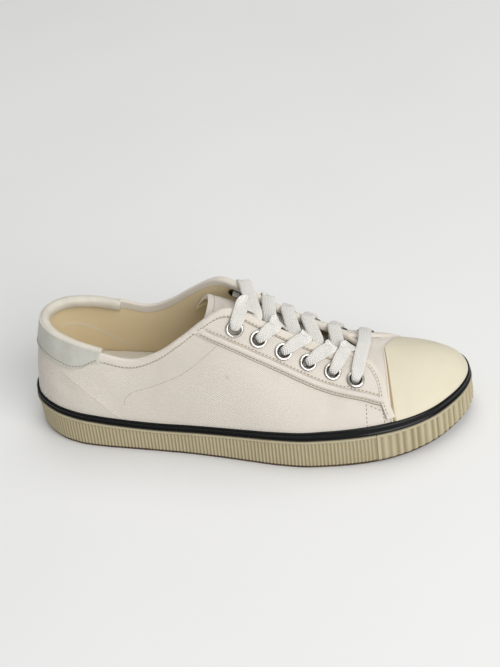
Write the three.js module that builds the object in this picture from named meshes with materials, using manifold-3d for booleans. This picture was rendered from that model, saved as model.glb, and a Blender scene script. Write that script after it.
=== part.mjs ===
// A low canvas sneaker for the right foot, standing empty on its sole.
// Millimetres. +X points to the toe, +Y to the inner side of the foot, +Z up.
// The origin lies on the floor under the middle of the shoe.
import * as THREE from "three";
import Module from "manifold-3d";

const wasm = await Module();
wasm.setup();

// Main sizes of the shoe
const soleLength = 284.5; // heel to toe over the rubber wall
const ballWidth = 103; // widest, over the rubber wall
const heelHeight = 80.5; // collar edge above the floor at the back
const collarDip = 66; // lowest collar edge, under the ankle
const instepHeight = 94.5; // top corner of the throat above the floor
const toeHeight = 48.5; // crown of the toe at the cap's rear edge
const toeSpring = 5; // lift of the sole's tip
const springStart = 0.66; // share of the length where the sole starts to lift

// Rubber wall, its ribs and the band on top of it
const wallHeight = 20.3; // rubber wall at the ball
const wallThickness = 2.7;
const wallLip = 1.4; // plain lip above the ribs
const wallLean = 1.0; // how far the wall leans in at its top
const heelTuck = 1.6; // how far the wall tucks in under the heel
const ribPitch = 2.3;
const ribDepth = 0.8;
const ribRecess = 0.2; // side ribs sit this far inside the toe bumper
const bumperPitch = 4;
const bumperDepth = 0.8;
const bumperJoint = 4.8; // section where side wall and bumper meet
const bandHeight = 4.8;
const bandThickness = 1.5;
const bandGroove = 0.55;

// Sole, insole and the upper's wall
const treadLip = 0.9; // gum edge under the ribs
const treadInset = 1.4;
const soleThickness = 12; // outsole under the heel
const forefootDrop = 3; // how much thinner it is at the ball
const heelPad = 11.5; // insole under the heel
const ballPad = 6; // insole under the ball
const upperWall = 1.6;
const gap = 0.3; // clearance between neighbours
const layerGap = 0.4; // clearance under a layer that follows the upper's curved face

// Overlays, binding, heel patch, tongue
const overlayThickness = 0.9;
const bindingWidth = 3.8;
const bindingThickness = 0.6;
const seamHeight = 1.0; // raised seam along the eyestay's lower border
const seamWidth = 3.4;
const patchThickness = 1.0;
const rollDepth = 6.5; // padded roll on the collar, top to crease
const rollBulge = 2.4;
const patchDrop = 20; // patch below the collar edge at the back
const tongueThickness = 3;
const tongueFlank = 11; // tongue hidden under each side of the throat
const tongueHump = 0.16; // fullness of its arch, as a share of the slot's width
const laceChannel = 3.2; // room for the lace under the throat edge

// Eyelets and lace
const eyeletOuter = 10.2;
const eyeletHole = 5.2;
const eyeletRim = 0.8;
const laceWidth = 8.4;
const laceThickness = 1.4;

// Sections of the upper from the toe's tip to the heel's back.
// x, lat and med: where the section meets the sole edge, as shares of length and ball width.
// rise: height of its top between the two heights of its zone.
// topX, topY: its top edge, outer (lat) and inner (med) side, shares of length and ball width.
// lean and drop: slope in degrees at the foot (outward) and at the top (below level).
// up and reach: fullness at the foot and at the top, as shares of the section's chord.
const zones = {
  toe: [toeHeight, instepHeight],
  collar: [collarDip, instepHeight],
  heel: [collarDip, heelHeight],
};
const columns = "x lat med rise topXLat topXMed topYLat topYMed lean up drop reach".split(" ");
const sections = [
  ["tip", "toe", 1.0, 0.146, 0.146, 0, 0.811, 0.811, 0.08, 0.08, -20, 0.3, 8, 0.48],
  ["toeRound", "toe", 0.985, -0.02, 0.3, 0, 0.811, 0.811, 0.08, 0.08, -22, 0.28, 8, 0.47],
  ["toeCorner", "toe", 0.945, -0.19, 0.405, 0, 0.811, 0.811, 0.08, 0.08, -28, 0.24, 8, 0.45],
  ["toeSide", "toe", 0.902, -0.302, 0.462, 0, 0.811, 0.811, 0.08, 0.08, -33, 0.22, 8, 0.43],
  ["capRear", "toe", 0.851, -0.386, 0.493, 0, 0.811, 0.811, 0.08, 0.08, -38, 0.2, 8, 0.42],
  ["vamp", "toe", 0.797, -0.44, 0.504, 0.05, 0.788, 0.786, 0.075, 0.075, -38, 0.2, 8, 0.42],
  ["slotFront", "toe", 0.743, -0.472, 0.503, 0.12, 0.758, 0.758, 0.05, 0.05, -37, 0.2, 8, 0.42],
  ["lace5", "toe", 0.697, -0.489, 0.488, 0.2, 0.72, 0.712, -0.07, 0.12, -34, 0.22, 22, 0.38],
  ["lace4", "toe", 0.645, -0.5, 0.459, 0.38, 0.668, 0.648, -0.09, 0.115, -26, 0.26, 25, 0.36],
  ["lace3", "toe", 0.582, -0.488, 0.416, 0.58, 0.611, 0.59, -0.11, 0.112, -17, 0.3, 30, 0.34],
  ["lace2", "toe", 0.522, -0.463, 0.371, 0.78, 0.56, 0.54, -0.122, 0.12, -10, 0.34, 36, 0.33],
  ["lace1", "toe", 0.469, -0.44, 0.338, 0.94, 0.524, 0.502, -0.132, 0.136, -6, 0.36, 44, 0.33],
  ["corner", "toe", 0.424, -0.423, 0.32, 1.01, 0.486, 0.462, -0.158, 0.17, -4, 0.36, 56, 0.33],
  ["collarRise", "collar", 0.38, -0.408, 0.309, 0.86, 0.442, 0.422, -0.208, 0.216, -3, 0.36, 68, 0.33],
  ["collarMid", "collar", 0.336, -0.398, 0.303, 0.54, 0.392, 0.376, -0.25, 0.248, -3, 0.36, 75, 0.33],
  ["collarDip", "collar", 0.287, -0.387, 0.305, 0.2, 0.338, 0.324, -0.272, 0.268, -3, 0.36, 80, 0.33],
  ["collarLow", "collar", 0.234, -0.377, 0.313, 0.02, 0.278, 0.268, -0.282, 0.277, -2, 0.36, 82, 0.33],
  ["patchEnd", "heel", 0.182, -0.366, 0.318, 0.32, 0.212, 0.207, -0.278, 0.273, 0, 0.36, 80, 0.33],
  ["counter", "heel", 0.125, -0.342, 0.315, 0.64, 0.146, 0.144, -0.25, 0.252, 1, 0.36, 78, 0.33],
  ["heelSide", "heel", 0.068, -0.283, 0.281, 0.86, 0.094, 0.092, -0.188, 0.194, 0, 0.36, 76, 0.33],
  ["heelRound", "heel", 0.02, -0.167, 0.177, 0.97, 0.063, 0.062, -0.094, 0.102, -4, 0.36, 74, 0.33],
  ["heel", "heel", 0, 0.005, 0.005, 1, 0.053, 0.053, 0.004, 0.004, -6, 0.36, 74, 0.33],
].map(([name, zone, ...values]) => {
  const row = { name, zone };
  columns.forEach((column, i) => (row[column] = values[i]));
  return row;
});
const place = Object.fromEntries(sections.map((row, i) => [row.name, i]));
const halfRing = sections.length - 1;
const fullRing = 2 * halfRing;

// Height of the rubber wall along the shoe, as shares of wallHeight
const wallProfile = [
  { at: 0, height: 1.16 },
  { at: 0.15, height: 0.98 },
  { at: 0.3, height: 0.84 },
  { at: 0.45, height: 0.9 },
  { at: 0.6, height: 1 },
  { at: 0.8, height: 1.02 },
  { at: 1, height: 0.9 },
];

const { lerp, clamp, degToRad, smoothstep } = THREE.MathUtils;
const vec = (x, y, z) => new THREE.Vector3(x, y, z);

function spline(a, b, c, d, t) {
  return (
    0.5 *
    (2 * b + (c - a) * t + (2 * a - 5 * b + 4 * c - d) * t * t + (3 * b - a - 3 * c + d) * t * t * t)
  );
}

// Values of the outer side from tip to heel, then of the inner side back to the tip
function ringOf(latValue, medValue) {
  const outer = sections.map(latValue);
  const inner = sections.map(medValue || latValue);
  return outer.concat(inner.slice(1, -1).reverse());
}

function closedSpline(values, w) {
  const i = Math.floor(w);
  const at = (k) => values[((k % fullRing) + fullRing) % fullRing];
  return spline(at(i - 1), at(i), at(i + 1), at(i + 2), w - i);
}

function openSpline(values, w, first, last) {
  const inside = clamp(w, first, last);
  const i = Math.min(Math.floor(inside), last - 1);
  const b = values[i];
  const c = values[i + 1];
  const a = i - 1 < first ? 2 * b - c : values[i - 1];
  const d = i + 2 > last ? 2 * c - b : values[i + 2];
  return spline(a, b, c, d, inside - i);
}

const share = {
  x: ringOf((r) => (r.x - 0.5) * soleLength),
  y: ringOf((r) => r.lat * ballWidth, (r) => r.med * ballWidth),
  topX: ringOf((r) => (r.topXLat - 0.5) * soleLength, (r) => (r.topXMed - 0.5) * soleLength),
  topY: ringOf((r) => r.topYLat * ballWidth, (r) => r.topYMed * ballWidth),
  topZ: ringOf((r) => lerp(zones[r.zone][0], zones[r.zone][1], r.rise)),
  lean: ringOf((r) => r.lean),
  up: ringOf((r) => r.up),
  drop: ringOf((r) => r.drop),
  reach: ringOf((r) => r.reach),
};

// Sole edge: its point at ring place w, and the same moved inwards by an inset
function soleEdge(w, inset = 0) {
  const step = 1e-3;
  const x = closedSpline(share.x, w);
  const y = closedSpline(share.y, w);
  const dx = closedSpline(share.x, w + step) - closedSpline(share.x, w - step);
  const dy = closedSpline(share.y, w + step) - closedSpline(share.y, w - step);
  const size = Math.hypot(dx, dy);
  const out = { x: -dy / size, y: dx / size };
  return { x: x - out.x * inset, y: y - out.y * inset, out };
}

function lift(x) {
  const past = Math.max(0, (x / soleLength + 0.5 - springStart) / (1 - springStart));
  return toeSpring * past * past;
}

function wallTop(x) {
  const at = clamp(x / soleLength + 0.5, 0, 1);
  const last = wallProfile.length - 1;
  let i = wallProfile.findIndex((row) => row.at > at) - 1;
  if (i < 0) i = last - 1;
  const height = (k) => wallProfile[clamp(k, 0, last)].height;
  const t = (at - wallProfile[i].at) / (wallProfile[i + 1].at - wallProfile[i].at);
  return wallHeight * spline(height(i - 1), height(i), height(i + 1), height(i + 2), t) + lift(x);
}

const wrap = (w) => ((w % fullRing) + fullRing) % fullRing;
const fromTip = (w) => (wrap(w) > halfRing ? fullRing - wrap(w) : wrap(w));
const upperInset = wallThickness + gap;

// Top of the section at w: the cap's pole, then the crown, then the throat and collar edge
function topPoint(w) {
  const k = fromTip(w);
  const read = (values) => {
    if (k <= place.capRear) return values[place.capRear];
    if (k < place.slotFront) return openSpline(values, k, place.capRear, place.slotFront);
    return openSpline(values, wrap(w), place.slotFront, fullRing - place.slotFront);
  };
  return vec(read(share.topX), read(share.topY), read(share.topZ));
}

// A section is a cubic Bezier from the band's middle to the top, measured in equal steps of length
const sectionSteps = 24;
const sectionCache = new Map();
function sectionAt(w) {
  const key = wrap(w);
  if (sectionCache.has(key)) return sectionCache.get(key);
  const edge = soleEdge(key, upperInset);
  const foot = vec(edge.x, edge.y, wallTop(soleEdge(key).x) + gap + bandHeight / 2);
  const top = topPoint(key);
  const chord = foot.distanceTo(top);
  const across = vec(foot.x - top.x, foot.y - top.y, 0).normalize();
  const k = fromTip(key);
  const crownDrop = Math.atan(Math.tan(degToRad(sections[0].drop)) * across.x);
  const sideDrop = degToRad(closedSpline(share.drop, key));
  const firstDrop = degToRad(sections[place.lace5].drop);
  const past = k - place.slotFront;
  let drop = sideDrop;
  if (past <= 0) drop = crownDrop;
  else if (past < 1) drop = lerp(crownDrop, firstDrop, past);
  const lean = degToRad(closedSpline(share.lean, key));
  const up = chord * closedSpline(share.up, key);
  const reach = chord * closedSpline(share.reach, key);
  const low = vec(
    foot.x + edge.out.x * Math.sin(lean) * up,
    foot.y + edge.out.y * Math.sin(lean) * up,
    foot.z + Math.cos(lean) * up,
  );
  const high = vec(
    top.x + across.x * Math.cos(drop) * reach,
    top.y + across.y * Math.cos(drop) * reach,
    top.z - Math.sin(drop) * reach,
  );
  const curve = new THREE.CubicBezierCurve3(foot, low, high, top);
  const section = { curve, lengths: curve.getLengths(sectionSteps), foot, edge };
  section.size = section.lengths[sectionSteps];
  sectionCache.set(key, section);
  return section;
}

// Point of the upper's outer face at share s of the section's length
function facePoint(w, s) {
  const { curve, lengths, size } = sectionAt(w);
  const target = clamp(s, 0, 1) * size;
  let i = 0;
  while (i < sectionSteps - 1 && lengths[i + 1] < target) i += 1;
  const t = (i + (target - lengths[i]) / (lengths[i + 1] - lengths[i])) / sectionSteps;
  return curve.getPoint(t);
}

const normalStep = 0.02;
function sideNormal(w, s) {
  const low = Math.min(s, 1 - normalStep);
  const up = facePoint(w, Math.min(1, low + normalStep)).sub(facePoint(w, Math.max(0, low - normalStep)));
  const flat = Math.min(s, 1 - normalStep);
  const along = facePoint(w + normalStep, flat).sub(facePoint(w - normalStep, flat));
  return up.cross(along).normalize();
}

// Outward normal; on the crown it is the mean of both sides, so they meet without a step
function faceNormal(w, s) {
  const k = fromTip(w);
  if (s < 1 || k > place.slotFront) return sideNormal(w, s);
  const at = Math.max(k, place.capRear);
  return sideNormal(at, 1).add(sideNormal(fullRing - at, 1)).normalize();
}

function onFace(w, s, offset) {
  return facePoint(w, s).addScaledVector(faceNormal(w, s), offset);
}

// Point a distance below the top edge, or above it when the distance is negative
function fromEdge(w, distance, offset) {
  const { size } = sectionAt(w);
  if (distance >= 0) return onFace(w, 1 - distance / size, offset);
  const up = facePoint(w, 1).sub(facePoint(w, 1 - normalStep)).normalize();
  return onFace(w, 1, offset).addScaledVector(up, -distance);
}

// Point of the face at a height; below the section's foot the wall is upright
function atHeight(w, z, offset) {
  const { foot, edge } = sectionAt(w);
  if (z <= foot.z) return vec(foot.x + edge.out.x * offset, foot.y + edge.out.y * offset, z);
  let low = 0;
  let high = 0.6;
  for (let i = 0; i < 24; i += 1) {
    const mid = (low + high) / 2;
    if (facePoint(w, mid).z < z) low = mid;
    else high = mid;
  }
  return onFace(w, low, offset);
}

// Builder of closed meshes: points are shared by place, collapsed triangles are dropped
class Body {
  constructor() {
    this.points = [];
    this.faces = [];
    this.index = new Map();
  }

  add(p) {
    const key = [p.x, p.y, p.z].map((v) => Math.round(v * 1e4)).join(",");
    if (!this.index.has(key)) {
      this.index.set(key, this.points.length);
      this.points.push(p);
    }
    return this.index.get(key);
  }

  triangle(a, b, c) {
    const [i, j, k] = [this.add(a), this.add(b), this.add(c)];
    if (i !== j && j !== k && k !== i) this.faces.push([i, j, k]);
  }

  quad(a, b, c, d) {
    this.triangle(a, b, c);
    this.triangle(a, c, d);
  }

  // Grid of rows; row r+1 lies to the left of row r when seen from outside
  sheet(rows, closed = false) {
    const last = closed ? rows.length : rows.length - 1;
    for (let r = 0; r < last; r += 1) {
      const a = rows[r];
      const b = rows[(r + 1) % rows.length];
      for (let i = 0; i < a.length - 1; i += 1) this.quad(a[i], a[i + 1], b[i + 1], b[i]);
    }
  }

  // Turns each triangle to agree with its neighbours
  agree() {
    const key = (a, b) => Math.min(a, b) + "_" + Math.max(a, b);
    const byEdge = new Map();
    this.faces.forEach((face, n) => {
      face.forEach((a, i) => {
        const edge = key(a, face[(i + 1) % 3]);
        byEdge.set(edge, (byEdge.get(edge) || []).concat(n));
      });
    });
    const done = new Set([0]);
    const queue = [0];
    while (queue.length) {
      const face = this.faces[queue.pop()];
      for (let i = 0; i < 3; i += 1) {
        const [a, b] = [face[i], face[(i + 1) % 3]];
        for (const m of byEdge.get(key(a, b))) {
          if (done.has(m)) continue;
          const other = this.faces[m];
          if (other[(other.indexOf(a) + 1) % 3] === b) other.reverse();
          done.add(m);
          queue.push(m);
        }
      }
    }
  }

  solid() {
    this.agree();
    let volume = 0;
    for (const [i, j, k] of this.faces) {
      const cross = this.points[j].clone().cross(this.points[k]);
      volume += this.points[i].dot(cross);
    }
    const faces = volume < 0 ? this.faces.map(([i, j, k]) => [i, k, j]) : this.faces;
    const vertProperties = new Float32Array(this.points.flatMap((p) => [p.x, p.y, p.z]));
    const triVerts = new Uint32Array(faces.flat());
    return new wasm.Manifold(new wasm.Mesh({ numProp: 3, vertProperties, triVerts }));
  }
}

function solidOf(geometry) {
  const flat = geometry.index ? geometry.toNonIndexed() : geometry;
  const position = flat.getAttribute("position");
  const body = new Body();
  for (let i = 0; i < position.count; i += 3) {
    const [a, b, c] = [0, 1, 2].map((n) => new THREE.Vector3().fromBufferAttribute(position, i + n));
    body.triangle(a, b, c);
  }
  return body.solid();
}

const group = new THREE.Group();
group.name = "canvas_sneaker";

function addPiece(name, solid, material) {
  const made = solid.getMesh();
  const geometry = new THREE.BufferGeometry();
  const position = new THREE.BufferAttribute(new Float32Array(made.vertProperties), 3);
  geometry.setAttribute("position", position);
  geometry.setIndex(new THREE.BufferAttribute(new Uint32Array(made.triVerts), 1));
  geometry.computeVertexNormals();
  const mesh = new THREE.Mesh(geometry, material);
  mesh.name = name;
  group.add(mesh);
}

const finish = (color, roughness, metalness = 0) =>
  new THREE.MeshStandardMaterial({ color, roughness, metalness });
const canvas = finish(0xe6dfd3, 0.9);
const creamRubber = finish(0xd3c9a4, 0.6);
const capRubber = finish(0xe4ddc0, 0.5);
const blackRubber = finish(0x0d0f10, 0.4);
const gumRubber = finish(0x8a6238, 0.7);
const greyLeather = finish(0xd6d6cd, 0.55);
const insoleCloth = finish(0xdedbd0, 0.9);
const nickel = finish(0xc9c7c2, 0.3, 1);
const cotton = finish(0xecece8, 0.95);

// Evenly spread ring places, finer where a step is given
function placesBetween(first, last, perSection) {
  const count = Math.max(1, Math.round(Math.abs(last - first) * perSection));
  return Array.from({ length: count + 1 }, (_, i) => lerp(first, last, i / count));
}

const ringPlaces = placesBetween(0, fullRing, 2).slice(0, -1);

// A skin of given thickness between two faces of the upper's own function
function skin(outer, inner, { closed = false, topOpen = () => true } = {}) {
  const body = new Body();
  body.sheet(outer, closed);
  body.sheet(inner.map((row) => row.slice().reverse()), closed);
  const last = closed ? outer.length : outer.length - 1;
  for (let i = 0; i < last; i += 1) {
    const j = (i + 1) % outer.length;
    body.quad(outer[i][0], outer[j][0], inner[j][0], inner[i][0]);
    if (topOpen(i)) body.quad(outer[i].at(-1), inner[i].at(-1), inner[j].at(-1), outer[j].at(-1));
  }
  if (!closed) {
    for (const i of [0, outer.length - 1])
      for (let n = 0; n < outer[i].length - 1; n += 1)
        body.quad(outer[i][n], inner[i][n], inner[i][n + 1], outer[i][n + 1]);
  }
  return body.solid();
}

// A closed profile of points carried along ring places, capped unless it closes on itself
function sweep(places, profileAt, closed = false) {
  const body = new Body();
  const loops = places.map((w) => profileAt(w));
  const rows = loops.map((loop) => loop.points.concat([loop.points[0]]));
  body.sheet(rows, closed);
  if (!closed) {
    for (const { points, flat } of [loops[0], loops.at(-1)])
      for (const face of THREE.ShapeUtils.triangulateShape(flat, []))
        body.triangle(...face.map((n) => points[n]));
  }
  return body.solid();
}

// Profile written as pairs of distance below the edge and offset from the face
function edgeProfile(w, pairs) {
  return {
    points: pairs.map(([distance, offset]) => fromEdge(w, distance, offset)),
    flat: orderedFlat(pairs),
  };
}

function orderedFlat(pairs) {
  return pairs.map(([distance, offset]) => new THREE.Vector2(distance, offset));
}

// Two rings of different fineness are joined by always advancing the one that lags
function joinRings(body, fine, coarse) {
  let i = 0;
  let j = 0;
  while (i < fine.length - 1 || j < coarse.length - 1) {
    const nextFine = i < fine.length - 1 ? fine[i + 1].w : Infinity;
    const nextCoarse = j < coarse.length - 1 ? coarse[j + 1].w : Infinity;
    if (nextFine <= nextCoarse) {
      body.triangle(fine[i].p, coarse[j].p, fine[i + 1].p);
      i += 1;
    } else {
      body.triangle(fine[i].p, coarse[j].p, coarse[j + 1].p);
      j += 1;
    }
  }
}

// Length of the sole edge from the tip up to ring place w, and the place at a given length
const edgeSamples = 40 * fullRing;
const edgeLengths = [0];
for (let i = 1; i <= edgeSamples; i += 1) {
  const a = soleEdge(((i - 1) / edgeSamples) * fullRing);
  const b = soleEdge((i / edgeSamples) * fullRing);
  edgeLengths.push(edgeLengths[i - 1] + Math.hypot(b.x - a.x, b.y - a.y));
}
const lengthAt = (w) => {
  const i = clamp(Math.floor((w / fullRing) * edgeSamples), 0, edgeSamples - 1);
  return lerp(edgeLengths[i], edgeLengths[i + 1], (w / fullRing) * edgeSamples - i);
};
const placeAt = (length) => {
  let i = edgeLengths.findIndex((value) => value > length) - 1;
  if (i < 0) i = edgeSamples - 1;
  const t = (length - edgeLengths[i]) / (edgeLengths[i + 1] - edgeLengths[i]);
  return ((i + t) / edgeSamples) * fullRing;
};

const tuckAt = (x) => heelTuck * smoothstep(-x / soleLength, 0.36, 0.49);
const soleTop = (x) =>
  soleThickness - forefootDrop * smoothstep(x / soleLength + 0.5, 0.25, 0.6) + lift(x);

// The rubber wall between two edge lengths: ribs repeat one short table of steps and depths
function ribbedWall(from, to, pitch, ribs, recess) {
  const whole = edgeLengths[edgeSamples];
  const wOf = (length) => placeAt(((length % whole) + whole) % whole);
  const count = Math.round((to - from) / pitch);
  const rib = (to - from) / count;
  const ring = (lengths, height, inset) =>
    lengths.map(({ length, depth }) => {
      const w = wOf(length);
      const { x } = soleEdge(w);
      const p = soleEdge(w, inset(x) + depth);
      return { w: length, p: vec(p.x, p.y, height(x)) };
    });
  const fine = [];
  for (let n = 0; n < count; n += 1)
    for (const { step, depth } of ribs)
      fine.push({ length: from + (n + step) * rib, depth: depth + recess });
  fine.push({ length: to, depth: ribs[0].depth + recess });
  const corners = [from, to];
  for (const lap of [0, whole])
    for (const w of ringPlaces)
      if (lengthAt(w) + lap > from + 1 && lengthAt(w) + lap < to - 1) corners.push(lengthAt(w) + lap);
  const coarse = corners.sort((one, two) => one - two).map((length) => ({ length, depth: 0 }));
  const bottom = (x) => lift(x) + treadLip + gap;
  const ribTop = (x) => wallTop(x) - wallLip;
  const plain = () => wallThickness;
  const rings = {
    outerLow: ring(fine, bottom, tuckAt),
    outerHigh: ring(fine, ribTop, () => wallLean),
    lipLow: ring(coarse, ribTop, () => wallLean - 0.15),
    lipHigh: ring(coarse, wallTop, () => wallLean + 0.15),
    innerHigh: ring(coarse, wallTop, plain),
    innerMiddle: ring(coarse, soleTop, plain),
    innerLow: ring(coarse, bottom, (x) => wallThickness + tuckAt(x)),
  };
  const body = new Body();
  const points = (ring) => ring.map((corner) => corner.p);
  joinRings(body, rings.outerLow, rings.innerLow);
  joinRings(body, rings.outerHigh, rings.lipLow);
  body.sheet([points(rings.outerHigh), points(rings.outerLow)]);
  const smooth = [rings.innerLow, rings.innerMiddle, rings.innerHigh, rings.lipHigh, rings.lipLow];
  body.sheet(smooth.map(points));
  for (const end of [0, -1]) {
    const cap = Object.values(rings).map((part) => part.at(end).p);
    const hub = cap.pop();
    for (let i = 0; i < cap.length - 1; i += 1) body.triangle(hub, cap[i], cap[i + 1]);
  }
  return body.solid();
}

const sideRibs = [
  { step: 0, depth: ribDepth },
  { step: 0.5, depth: 0 },
];
const bumperRibs = [
  { step: 0, depth: bumperDepth },
  { step: 0.3, depth: 0 },
  { step: 0.7, depth: 0 },
];
const wholeEdge = edgeLengths[edgeSamples];
const jointLength = lengthAt(bumperJoint);
const farJoint = lengthAt(fullRing - bumperJoint);
addPiece(
  "foxing",
  ribbedWall(jointLength + gap / 2, farJoint - gap / 2, ribPitch, sideRibs, ribRecess),
  creamRubber,
);
addPiece(
  "toe_bumper",
  ribbedWall(farJoint + gap / 2, wholeEdge + jointLength - gap / 2, bumperPitch, bumperRibs, 0),
  creamRubber,
);

// Solid plate inside the sole edge: stacked rings, each with an inset and a height over x
function plate(levels) {
  const places = placesBetween(0, fullRing, 1.24).slice(0, -1);
  const rings = levels.map(({ inset, height }) =>
    places.map((w) => {
      const { x } = soleEdge(w);
      const edge = soleEdge(w, inset(x));
      return vec(edge.x, edge.y, height(x));
    }),
  );
  const body = new Body();
  const count = places.length;
  body.sheet(places.map((_, i) => rings.map((ring) => ring[i])), true);
  for (let i = 0; i < count / 2; i += 1) {
    const [a, b] = [i, i + 1];
    const [c, d] = [(count - i) % count, (count - i - 1) % count];
    const low = rings[0];
    const high = rings[rings.length - 1];
    body.quad(low[a], low[b], low[d], low[c]);
    body.quad(high[a], high[c], high[d], high[b]);
  }
  return body.solid();
}

const padHeight = (x) => lerp(heelPad, ballPad, smoothstep(x / soleLength + 0.5, 0.25, 0.62));
addPiece(
  "outsole",
  plate([
    { inset: (x) => treadInset + tuckAt(x) + 0.5, height: lift },
    { inset: (x) => treadInset + tuckAt(x), height: (x) => lift(x) + treadLip },
    { inset: (x) => upperInset + tuckAt(x), height: (x) => lift(x) + treadLip },
    { inset: () => upperInset, height: soleTop },
  ]),
  gumRubber,
);
const insoleInset = upperInset + upperWall + 2 * gap;
addPiece(
  "insole",
  plate([
    { inset: () => insoleInset, height: (x) => soleTop(x) + gap },
    { inset: () => insoleInset, height: (x) => soleTop(x) + padHeight(x) - 1 },
    { inset: () => insoleInset + 1, height: (x) => soleTop(x) + padHeight(x) },
  ]),
  insoleCloth,
);

// Upper: one hollow wall, open at collar and throat and under the foot
const outerLevels = [0, 0.17, 0.34, 0.51, 0.68, 0.85, 1];
const innerLevels = [0, 0.34, 0.68, 0.85, 1];
function wallColumn(w, offset, levels) {
  const low = soleTop(soleEdge(w).x) + gap;
  return [atHeight(w, low, offset), ...levels.map((s) => onFace(w, s, offset))];
}
function eyeletFrame({ w, distance }) {
  const { size } = sectionAt(w);
  const s = 1 - distance / size;
  return { at: facePoint(w, s), out: faceNormal(w, s) };
}

// Eyelets from the top of the throat to the toe: ring place and distance below the top edge
const eyeletRows = [
  { place: 11.05, distance: 11.4 },
  { place: 9.86, distance: 11.2 },
  { place: 8.91, distance: 12.4 },
  { place: 8.04, distance: 13.8 },
  { place: 7.08, distance: 14.1 },
  { place: 5.76, distance: 27.6 },
];
const eyelets = ["lateral", "medial"].flatMap((side) =>
  eyeletRows.map((row, i) => ({
    name: side + "_" + (i + 1),
    ...eyeletFrame({
      w: side === "lateral" ? row.place : fullRing - row.place,
      distance: row.distance,
    }),
  })),
);
const barrel = eyeletHole / 2 + eyeletRim;
const upright = vec(0, 0, 1);
function alongEyelet(geometry, { at, out }) {
  const turn = new THREE.Matrix4().makeRotationFromQuaternion(
    new THREE.Quaternion().setFromUnitVectors(upright, out),
  );
  return geometry.rotateX(Math.PI / 2).applyMatrix4(turn).translate(at.x, at.y, at.z);
}
function withHoles(solid, list) {
  const cutLength = 2 * (upperWall + overlayThickness + 4);
  return list.reduce((rest, eyelet) => {
    const drill = new THREE.CylinderGeometry(barrel + gap, barrel + gap, cutLength, 8);
    return rest.subtract(solidOf(alongEyelet(drill, eyelet)));
  }, solid);
}

const upperOuter = ringPlaces.map((w) => wallColumn(w, 0, outerLevels));
const upperInner = ringPlaces.map((w) => wallColumn(w, -upperWall, innerLevels));
const inThroat = (i) => {
  const next = i + 1 === ringPlaces.length ? fullRing : ringPlaces[i + 1];
  const middle = (ringPlaces[i] + next) / 2;
  return fromTip(middle) > place.slotFront;
};
addPiece(
  "upper",
  withHoles(skin(upperOuter, upperInner, { closed: true, topOpen: inThroat }), eyelets),
  canvas,
);

// Black band with two ridges on top of the rubber wall
addPiece(
  "edge_band",
  sweep(
    placesBetween(0, fullRing, 2).slice(0, -1),
    (w) => {
      const low = wallTop(soleEdge(w).x) + gap;
      const pairs = [
        [0, gap],
        [0.1, gap + bandThickness],
        [0.5, gap + bandThickness - bandGroove],
        [0.8, gap + bandThickness],
        [1, gap],
        [0.5, gap],
      ];
      return {
        points: pairs.map(([share, offset]) => atHeight(w, low + share * bandHeight, offset)),
        flat: orderedFlat(pairs),
      };
    },
    true,
  ),
  blackRubber,
);

// Toe cap: an overlay from the band up to the crown, between the two cap-rear sections
const capPlaces = placesBetween(-place.capRear, place.capRear, 2);
function capColumn(w, offset) {
  const bandTop = sectionAt(w).foot.z + bandHeight / 2 + gap;
  return [atHeight(w, bandTop, offset), ...outerLevels.slice(1).map((s) => onFace(w, s, offset))];
}
addPiece(
  "toe_cap",
  skin(
    capPlaces.map((w) => capColumn(w, layerGap + overlayThickness)),
    capPlaces.map((w) => capColumn(w, layerGap)),
    { topOpen: () => false },
  ),
  capRubber,
);

// Eyestays: an overlay between the seam line (low) and the throat edge (high), from toe to collar.
// Each row gives ring place and distance below the top edge for both lines.
const eyestayRows = [
  { low: 4.22, lowDrop: 44.6, high: 4.13, highDrop: 43.2 },
  { low: 4.45, lowDrop: 42.6, high: 4.2, highDrop: 37 },
  { low: 4.75, lowDrop: 41.9, high: 4.32, highDrop: 27 },
  { low: 5.2, lowDrop: 40.8, high: 4.6, highDrop: 20 },
  { low: 5.7, lowDrop: 39.3, high: 5.05, highDrop: 14.6 },
  { low: 6.1, lowDrop: 37.7, high: 5.6, highDrop: 11.2 },
  { low: 6.45, lowDrop: 33.8, high: 6.3, highDrop: 7.4 },
  { low: 6.75, lowDrop: 29.2, high: 6.7, highDrop: 5.6 },
  { low: 7.1, lowDrop: 28, high: 7.1, highDrop: 5 },
  { low: 7.6, lowDrop: 27.2, high: 7.6, highDrop: 4.6 },
  { low: 8.2, lowDrop: 26.5, high: 8.2, highDrop: 4.4 },
  { low: 8.85, lowDrop: 25.3, high: 8.85, highDrop: 4.2 },
  { low: 9.55, lowDrop: 24.7, high: 9.55, highDrop: 4.2 },
  { low: 10.45, lowDrop: 24.6, high: 10.45, highDrop: 4.2 },
  { low: 11.4, lowDrop: 23.6, high: 11.4, highDrop: 4.2 },
  { low: 12.15, lowDrop: 20.4, high: 12.2, highDrop: 4.2 },
  { low: 12.85, lowDrop: 12, high: 12.95, highDrop: 4.2 },
];
function eyestayRow(row, side, base) {
  const place = (w) => (side === "lateral" ? w : fullRing - w);
  const span = row.lowDrop - row.highDrop;
  const seam = Math.min(0.45, seamWidth / Math.max(span, 1));
  const steps = [0, seam * 0.7, seam, lerp(seam, 1, 0.35), lerp(seam, 1, 0.7), 1];
  return steps.map((t, i) => {
    const raised = base > layerGap && i < 2 ? seamHeight : 0;
    const w = place(lerp(row.low, row.high, t));
    return fromEdge(w, lerp(row.lowDrop, row.highDrop, t), base + raised);
  });
}
for (const side of ["lateral", "medial"]) {
  const outer = eyestayRows.map((row) => eyestayRow(row, side, layerGap + overlayThickness));
  const inner = eyestayRows.map((row) => eyestayRow(row, side, layerGap));
  const own = eyelets.filter((eyelet) => eyelet.name.startsWith(side));
  addPiece("eyestay_" + side, withHoles(skin(outer, inner), own), canvas);
}

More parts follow.
